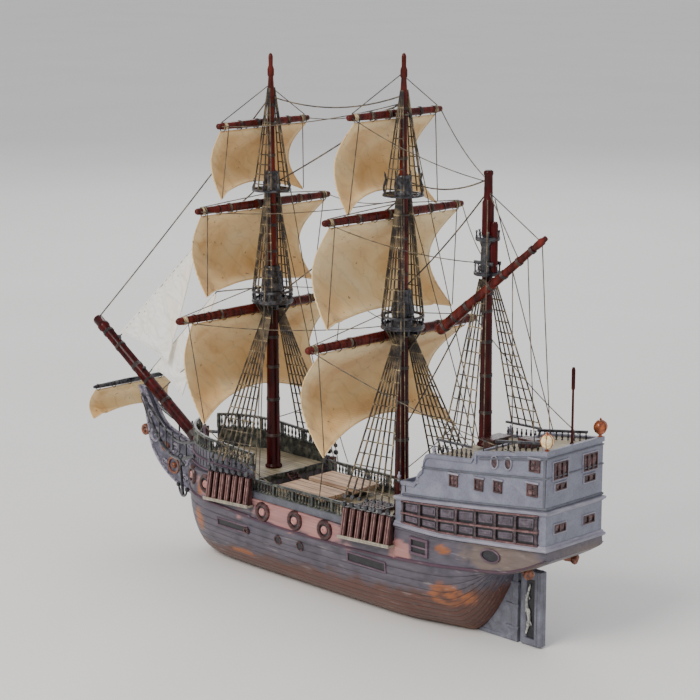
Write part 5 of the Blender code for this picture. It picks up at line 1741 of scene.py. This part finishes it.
def make_sail(name, point, body, material, slot, replaces, grip):
    """A sheet of sailcloth on a fine grid, settled as cloth, with its bolt rope all round."""
    mesh = bpy.data.meshes.new(name)
    us, vs = spread(-1, 1, SAIL_COLUMNS + 1), spread(0, 1, SAIL_ROWS + 1)
    vertices = [metres(point(u, v)) for v in vs for u in us]
    width = SAIL_COLUMNS + 1
    faces = [(j * width + i, j * width + i + 1, (j + 1) * width + i + 1, (j + 1) * width + i)
             for j in range(SAIL_ROWS) for i in range(SAIL_COLUMNS)]
    mesh.from_pydata(vertices, [], faces)
    rows = [vertices[j * width:(j + 1) * width] for j in range(SAIL_ROWS + 1)]
    columns = [vertices[i::width] for i in range(width)]
    across, down = (max(path_length(line) for line in lines) for lines in (rows, columns))
    sail = bpy.data.objects.new(name, mesh)
    bpy.context.scene.collection.objects.link(sail)
    settle(sail, grip)
    edge = mesh.attributes.new("edge", "FLOAT", "POINT")
    corner = mesh.attributes.new("corner", "FLOAT", "POINT")
    for index in range(len(vertices)):
        u, v = us[index % width], vs[index // width]
        near_side, near_end = 1 - abs(u), min(v, 1 - v)
        edge.data[index].value = smooth_step(0.16, 0.0, min(near_side, near_end * 1.6))
        corner.data[index].value = smooth_step(0.75, 0.0, math.hypot(near_side, 1.2 * (1 - v)))
    mesh.materials.append(material)
    mesh.shade_smooth()
    border = list(range(width))
    border += [j * width + SAIL_COLUMNS for j in range(1, SAIL_ROWS + 1)]
    border += [SAIL_ROWS * width + i for i in range(SAIL_COLUMNS - 1, -1, -1)]
    border += [j * width for j in range(SAIL_ROWS - 1, 0, -1)]
    line = [(mesh.vertices[i].co / MM - Vector((MIDSHIP_OFFSET, 0, 0))) for i in border]
    hem = Shape()
    hem.rope(line + [line[0]], 0.62, sides=6)
    hem_piece = hem.make(name + "_bolt_rope", material, body, slot=slot)
    shell = sail.modifiers.new("Solidify", "SOLIDIFY")
    shell.thickness = SAIL_THICK * MM
    shell.offset = 0.0
    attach(sail, body)
    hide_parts(replaces)
    return sail


def path_length(points):
    return sum((b - a).length for a, b in zip(points, points[1:]))


def hung_grip(u, v):
    """Held along the head and at the corners, and loosely elsewhere."""
    corner = smooth_step(0.3, 0.0, math.hypot(1 - abs(u), 1 - v))
    return max(1.0 if v < 0.02 else 0.0, corner, 0.55 * smooth_step(0.1, 0.0, 1 - abs(u)), 0.12)


def jib_grip(u, v):
    """Held along the luff, at the head and at the clew."""
    clew = smooth_step(0.3, 0.0, math.hypot(1 - u, v))
    return max(1.0 if u < -0.95 or v > 0.9 else 0.0, clew, 0.15)


def make_sails():
    for name in SQUARE_SAILS:
        make_yard(name)
        make_sail(name + "_canvas", square_sail_point(name), name, sail_material, "sail_cloth",
                  name + "_sail", hung_grip)
        mast_x, yard_z, _, head_half = SQUARE_SAILS[name][:4]
        middle_r = YARD_THICKNESS[kind_of(name)][1]
        make_robands(name + "_robands", name, (mast_x - YARD_OFFSET, yard_z), head_half, middle_r)
    make_sail("sprit_canvas", spritsail_point, "ship", sail_material, "sail_cloth", "spritsail", hung_grip)
    jibs = {
        "outer_jib": jib_point((-355.5, 170.0), (-281.5, 154.8), OUTER_JIB_HEAD, -3.0, -7.0),
        "inner_jib": jib_point((-310.6, 143.6), (-270.8, 126.5), INNER_JIB_HEAD, -2.0, 0.0),
    }
    for name, point in jibs.items():
        make_sail(name + "_canvas", point, "ship", lit_jib_material, "jib_cloth", name, jib_grip)


def bowsprit_at(share, above=0.0):
    """A point on the bowsprit's top, from its heel (0) to its tip (1)."""
    return (blend(BOWSPRIT_HEEL[0], BOWSPRIT_TIP[0], share), 0,
            blend(BOWSPRIT_HEEL[1], BOWSPRIT_TIP[1], share) + above)


def make_bowsprit():
    run = Vector((BOWSPRIT_TIP[0] - BOWSPRIT_HEEL[0], 0, BOWSPRIT_TIP[1] - BOWSPRIT_HEEL[1]))
    length = run.length
    profile = [(5.2, 0), (5.1, length * 0.5), (4.6, length - 14), (5.4, length - 13), (5.4, length - 9.5),
               (4.6, length - 8.5), (4.7, length - 1.2), (4.0, length)]
    heel = (BOWSPRIT_HEEL[0], 0, BOWSPRIT_HEEL[1])
    make_spar("bowsprit_spar", profile, heel, axis=run, replaces=["bowsprit"])
    bands = Shape()
    for share, width in ((0.2, 6.0), (0.42, 3.0), (0.56, 2.4), (0.66, 4.0), (0.8, 3.0), (0.9, 3.0)):
        add_band(bands, bowsprit_at(share), run, blend(5.2, 4.7, share), width)
    bands.make("bowsprit_lashings", tarred_material, slot="rigging_cord")
    bead = Shape()
    bead.ring(bowsprit_at(0.81, 7.0), ACROSS, 2.0, [(-0.5, -0.5), (-0.5, 0.5), (0.5, 0.5), (0.5, -0.5)])
    bead.ball(bowsprit_at(0.6, 7.0), 1.7)
    bead.make("bowsprit_rings", top_material, slot="top_paint")


def make_sprit_yard():
    """The small yard below the bowsprit, with the ties of its sail."""
    half = SPRITSAIL_HALF
    half_profile = [(1.0, half), (1.7, half - 2), (1.9, half - 8), (2.4, half * 0.3)]
    profile = [(radius, -y) for radius, y in half_profile] + half_profile[::-1]
    make_spar("sprit_spar", profile, (SPRITSAIL_X, 0, SPRITSAIL_Z), top_material, ACROSS,
              replaces=["spritsail_yard"])
    make_robands("sprit_robands", "ship", (SPRITSAIL_X, SPRITSAIL_Z), 46, 2.4)


def make_lateen():
    run = Vector((LATEEN_HIGH[0] - LATEEN_LOW[0], 0, LATEEN_HIGH[1] - LATEEN_LOW[1]))
    heel = Vector((LATEEN_LOW[0], LATEEN_Y, LATEEN_LOW[1]))
    length = run.length
    profile = [(3.6, 0), (4.4, 2), (4.4, length * 0.22), (3.7, length * 0.36), (3.0, length * 0.75),
               (2.5, length - 12), (2.9, length - 11), (2.9, length - 4), (2.2, length - 3), (2.0, length)]
    make_spar("lateen_spar", profile, heel, lit_spar_material, run, "lateen", ["lateen_yard"])
    bands = Shape()
    for share in (0.06, 0.16, 0.28, 0.5, 0.62, 0.76, 0.88):
        add_band(bands, heel + run * share, run, blend(4.4, 2.6, share), 3.0)
    middle = heel + run * 0.386
    round_mast = ((-4, 4, 2), (-5, 9, 1), (0, 14.5, 0), (5, 9, 1), (4, 4, 2))
    loop = [middle + Vector(step) for step in round_mast]
    bands.rope(curved(loop, 14), 0.9, sides=8)
    bands.make("lateen_lashings", tarred_material, "lateen", slot="rigging_cord")


# ---------------------------------------------------------------- rigging

SHROUD_R, MIZZEN_SHROUD_R, TOPMAST_SHROUD_R, TOPGALLANT_SHROUD_R = 0.75, 0.62, 0.66, 0.6
RATLINE_R, FUTTOCK_R, STAY_R, LINE_R = 0.5, 0.45, 0.6, 0.4
SHROUD_FEET = {"fore": (-172.5, -128.0), "main": (-12.2, 36.0)}      # foremost and aftmost
BACKSTAY_FEET = {"fore": (-124.0, 84.0), "main": (44.0, 112.0)}       # along the ship, and up
# where each starboard brace reaches the ship; the port one mirrors it
BRACE_LEADS = {
    "fore_course": (MAIN_X - 16, 9, TOP_Z + 1),
    "fore_topsail": (MAIN_X - 4.5, 4, 327.5),
    "fore_topgallant": (MAIN_X - 2, 2.5, 403.0),
    "main_course": (152.0, 37.0, 161.0),
    "main_topsail": (MIZZEN_X - 8, 6, 290.0),
    "main_topgallant": (MIZZEN_X - 3, 2.5, 352.0),
}
SHEET_HEIGHTS = {"fore_course": 88.0, "main_course": 121.0}
TACK_HEIGHTS = {"fore_course": 110.0, "main_course": 87.0}
BRAILS = ((0.03, (172, -20, 166)), (0.16, (160, -24, 164)), (0.3, (140, -26, 161)))


def make_net(name, feet, heads, shroud_r, ratlines, replaces=(), knot_r=0.8):
    """Shrouds from feet to heads, crossed by ratlines with a knot at each crossing; the knots' pale colour is
    a painted glint.
    """
    ropes, ties = Shape(), Shape()
    feet, heads = [Vector(p) for p in feet], [Vector(p) for p in heads]
    for foot, head in zip(feet, heads):
        ropes.rope([foot, foot.lerp(head, 0.5), head], shroud_r)
    for t in spread(0.05, 0.93, ratlines):
        crossing = [foot.lerp(head, t) for foot, head in zip(feet, heads)]
        ropes.rope(crossing, RATLINE_R, sides=5)
        for point in crossing:
            ties.ball(point, knot_r, sides=6)
    ropes.make(name, cord_material, slot="rigging_cord", replaces=replaces)
    ties.make(name + "_glint_knots", glint_knot_and_lashing_material, slot="rigging_cord")


def rim_points(mast_x, side, radius, z, first, last, count):
    """Points on one side of a ring round a mast; angles are in degrees from right aft."""
    turns = [math.radians(side * angle) for angle in spread(first, last, count)]
    return [(mast_x + radius * math.cos(turn), radius * math.sin(turn), z) for turn in turns]


def make_lower_shrouds(side_name, side):
    for mast, mast_x, _, _, _ in TALL_MASTS:
        front, aft = SHROUD_FEET[mast]
        feet = [(x, side * 50.6, 97.0 + 0.06 * (x - front)) for x in spread(front, aft, 7)]
        heads = [(mast_x + blend(-1.5, 5, i / 6), side * 5.6, TOP_Z - 2.5) for i in range(7)]
        make_net(f"{mast}_shroud_net_{side_name}", feet, heads, SHROUD_R, 13,
                 [f"{mast}_shrouds_{side_name}"], knot_r=0.95)
    feet = [(x, side * 39.5, 157.0) for x in spread(82, 112, 5)]
    heads = [(MIZZEN_X + blend(-3, 3, i / 4), side * 5.2, MIZZEN_TOP_Z - 2) for i in range(5)]
    make_net(f"mizzen_shroud_net_{side_name}", feet, heads, MIZZEN_SHROUD_R, 13,
             [f"mizzen_shrouds_{side_name}"], knot_r=0.9)


def make_upper_shrouds(side_name, side):
    """The nets above each top and crosstree, and the short ropes below the tops."""
    for mast, mast_x, _, tree_z, truck_z in TALL_MASTS:
        feet = rim_points(mast_x, side, TOP_RAIL_R, TOP_Z + 12, 44, 136, 7)
        heads = rim_points(mast_x, side, 6.2, tree_z + 1, 60, 98, 7)
        make_net(f"{mast}_topmast_net_{side_name}", feet, heads, TOPMAST_SHROUD_R, 11, knot_r=0.85)
        feet = rim_points(mast_x, side, TREE_RING_R, tree_z + 3, 44, 112, 4)
        heads = rim_points(mast_x, side, 3.1, truck_z - 28, 60, 95, 4)
        make_net(f"{mast}_topgallant_net_{side_name}", feet, heads, TOPGALLANT_SHROUD_R, 10, knot_r=0.7)
        futtocks = Shape()
        rims = rim_points(mast_x, side, 16.5, TOP_Z + 0.8, 44, 98, 5)
        for rim, foot in zip(rims, rim_points(mast_x, side, 5.0, TOP_Z - 17, 44, 98, 5)):
            futtocks.rope([rim, foot], FUTTOCK_R)
        futtocks.make(f"{mast}_futtocks_{side_name}", cord_material, slot="rigging_cord")


def make_lines(name, lines, radius, body="ship"):
    """Ropes between pairs of points: (start, end, sag)."""
    shape = Shape()
    for start, end, sag in lines:
        shape.rope(sagging(start, end, sag, 13), radius)
    return shape.make(name, cord_material, body, slot="rigging_cord")


def on_mast(mast_x, aft, z):
    """A point on the middle line, a little abaft a mast's axis, or ahead of it when aft is negative."""
    return (mast_x + aft, 0, z)


def make_stays():
    outer, inner = ((x, 0, z) for x, z in (OUTER_JIB_HEAD, INNER_JIB_HEAD))
    make_lines("head_stays", [
        (on_mast(FORE_X, -15, 322.5), outer, 0),
        (outer, (-358.0, 0, 166.0), 0),
        (on_mast(FORE_X, -15, 237.0), inner, 0),
        (inner, (-322.0, 0, 134.0), 0),
        (on_mast(FORE_X, -16.5, 226.5), bowsprit_at(0.46, 5), 0),
        (on_mast(FORE_X, -2, 397.0), bowsprit_at(0.98, 4), 2),
    ], STAY_R)
    make_lines("mast_stays", [
        (on_mast(MAIN_X, -3, 329.0), on_mast(FORE_X, 4, 232.0), 1),
        (on_mast(MAIN_X, -2.5, 404.0), on_mast(FORE_X, 3.5, 327.0), 2),
        (on_mast(MAIN_X, -2, 409.0), on_mast(FORE_X, 2, 398.0), 9),
        (on_mast(MIZZEN_X, -4, 276.0), on_mast(MAIN_X, 5, 150.0), 2),
        (on_mast(MIZZEN_X, -4, 340.0), on_mast(MAIN_X, 5, 262.0), 3),
        (on_mast(MIZZEN_X, -3, 352.0), on_mast(MAIN_X, 3, 344.0), 7),
    ], STAY_R)
    backstays = []
    for side in (PORT, STARBOARD):
        for mast, mast_x, _, tree_z, truck_z in TALL_MASTS:
            foot_x, foot_z = BACKSTAY_FEET[mast]
            low_head = (mast_x + 2, side * 4, tree_z)
            high_head = (mast_x + 2, side * 2.6, truck_z - 38)
            backstays.append((low_head, (foot_x, side * 46, foot_z), 0))
            backstays.append((high_head, (foot_x + 5, side * 45.6, foot_z), 1))
        backstays.append(((MIZZEN_X + 3, side * 4, 338), (124, side * 40, 157), 1))
    make_lines("backstays", backstays, LINE_R)


def make_lifts(name):
    """Ropes that turn with a yard: up to the mast, and down to the lower corners of its sail."""
    mast_x, yard_z, half, _, clew_half, clew_z, clew_dx = SQUARE_SAILS[name][:7]
    yard_x = mast_x - YARD_OFFSET
    ahead, aside, rise = LIFT_HEADS[kind_of(name)]
    lifts, clew_lines = [], []
    for side in (PORT, STARBOARD):
        head = (mast_x - ahead, side * aside, yard_z + rise)
        clew = (mast_x + clew_dx + 1, side * clew_half, clew_z + 1)
        lifts.append(((yard_x, side * (half - 5), yard_z + 3), head, 0))
        clew_lines.append(((yard_x + 3, side * (half - 10), yard_z - 2), clew, 0))
    make_lines(name + "_lifts", lifts + clew_lines, LINE_R, name)


def make_braces(name):
    """Ropes that run from a yard's ends back to the ship."""
    mast_x, yard_z, half = SQUARE_SAILS[name][:3]
    lead_x, lead_y, lead_z = BRACE_LEADS[name]
    for side_name, side in SIDES:
        tip = (mast_x - YARD_OFFSET + 2, side * (half - 3), yard_z)
        make_blended(f"{name}_brace_{side_name}", tip, (lead_x, side * lead_y, lead_z), 5.0)


def make_sheets(name):
    """Ropes that run aft and forward from the lower corners of a course to the ship's sides."""
    mast_x, _, _, _, clew_half, clew_z, clew_dx = SQUARE_SAILS[name][:7]
    for side_name, side in SIDES:
        clew = (mast_x + clew_dx, side * clew_half, clew_z)
        rail = (mast_x + 44, side * 45.2, SHEET_HEIGHTS[name])
        bow = (mast_x - 50, side * 43.5, TACK_HEIGHTS[name])
        make_blended(f"{name}_sheet_{side_name}", clew, rail, 3.0)
        make_blended(f"{name}_tack_{side_name}", clew, bow, 2.0)


def make_lateen_lines():
    peak = Vector((LATEEN_HIGH[0], LATEEN_Y, LATEEN_HIGH[1]))
    heel = Vector((LATEEN_LOW[0], LATEEN_Y, LATEEN_LOW[1]))
    block = (MIZZEN_X + 1, -1, 344.0)
    lifts = [(peak.lerp(heel, share) + Vector((0, 0, 3)), block, 0) for share in (0.06, 0.25)]
    make_lines("lateen_lifts", lifts, LINE_R, "lateen")
    for number, (share, foot) in enumerate(BRAILS):
        start = peak.lerp(heel, share) + Vector((0, 0, -3))
        make_blended(f"lateen_brail_{number}", start, foot, 4.0)


def make_running_rigging():
    for name in BRACE_LEADS:
        make_lifts(name)
        make_braces(name)
        if name in SHEET_HEIGHTS:
            make_sheets(name)
    make_lateen_lines()


def make_blended(name, moving_end, fixed_end, sag):
    """A rope from a swinging spar to the ship."""
    shape = Shape()
    shape.rope(sagging(fixed_end, moving_end, sag, 25), LINE_R)
    rope = shape.make(name, cord_material, body=None, slot="rigging_cord")
    metres(fixed_end)
    metres(moving_end)
    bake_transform(rope)


# ---------------------------------------------------------------- studio

CAMERA_PLACE = Vector((1.2713, -1.1978, 0.5699))
CAMERA_AIM = Vector((-0.69891, 0.68336, -0.21105))
CAMERA_LENS = 111.5
FLOOR_HALF, FLOOR_DROP = 40.0, 0.0002
LIGHT_AIM = (0, 0, 0.2)
# place, width and power of each light, and its colour
LIGHTS = {
    "key": ((0.2, -1.9, 1.7), 1.1, 42.0, (1.0, 0.96, 0.9)),
    "fill": ((2.1, 0.4, 1.1), 1.4, 3.0, (0.94, 0.96, 1.0)),
    "rim": ((-1.5, 1.5, 1.6), 1.2, 16.0, (1.0, 1.0, 1.0)),
}


def make_camera():
    data = bpy.data.cameras.new("camera")
    data.lens = CAMERA_LENS
    data.sensor_width = 36.0
    data.clip_start, data.clip_end = 0.05, 120.0
    camera = bpy.data.objects.new("camera", data)
    bpy.context.scene.collection.objects.link(camera)
    camera.location = CAMERA_PLACE
    camera.rotation_euler = CAMERA_AIM.to_track_quat("-Z", "Y").to_euler()
    bpy.context.scene.camera = camera


def make_floor():
    """A plain pale floor that runs back past every view."""
    mesh = bpy.data.meshes.new("floor")
    corners = [(x * FLOOR_HALF, y * FLOOR_HALF, 0) for x, y in ((-1, -1), (1, -1), (1, 1), (-1, 1))]
    mesh.from_pydata(corners, [], [(0, 1, 2, 3)])
    floor = bpy.data.objects.new("floor", mesh)
    bpy.context.scene.collection.objects.link(floor)
    floor.location.z = -FLOOR_DROP
    finish = Finish("floor_paint", Roughness=0.85)
    finish.colour(finish.ramp(finish.noise(300), (0.3, srgb(236, 235, 232)), (0.7, srgb(240, 239, 237))))
    mesh.materials.append(finish.material)


def add_light(name, place, width, power, colour):
    data = bpy.data.lights.new(name, "AREA")
    data.size = width
    data.energy = power
    data.color = colour
    lamp = bpy.data.objects.new(name, data)
    bpy.context.scene.collection.objects.link(lamp)
    lamp.location = place
    lamp.rotation_euler = (Vector(LIGHT_AIM) - Vector(place)).to_track_quat("-Z", "Y").to_euler()


def make_light():
    world = bpy.data.worlds.new("studio")
    world.use_nodes = True
    background = world.node_tree.nodes["Background"]
    background.inputs["Color"].default_value = (0.97, 0.97, 1.0, 1)
    background.inputs["Strength"].default_value = 0.72
    bpy.context.scene.world = world
    for name, light in LIGHTS.items():
        add_light(name, *light)


# ---------------------------------------------------------------- assembly

make_camera()
make_floor()
make_light()
make_hull()
make_stem()
make_deadwood()
make_ring_ports()
make_gun_slots()
make_side_mouldings()
make_forecastle_rails()
make_panel_battens()
make_waist_rails()
make_decks()
make_hatches()
make_castle_walls()
make_gallery_storey()
make_cornices()
make_castle_windows()
make_castle_tops()
make_lanterns()
make_counter_trim()
make_beakhead()
make_anchors()
make_rudder()
for side_name, side in SIDES:
    make_gallery(side_name, side)
    make_channels(side_name, side)
make_tall_masts()
make_mizzen()
make_bowsprit()
make_sprit_yard()
make_stays()
make_sails()
make_lateen()
for side_name, side in SIDES:
    make_lower_shrouds(side_name, side)
    make_upper_shrouds(side_name, side)
make_running_rigging()
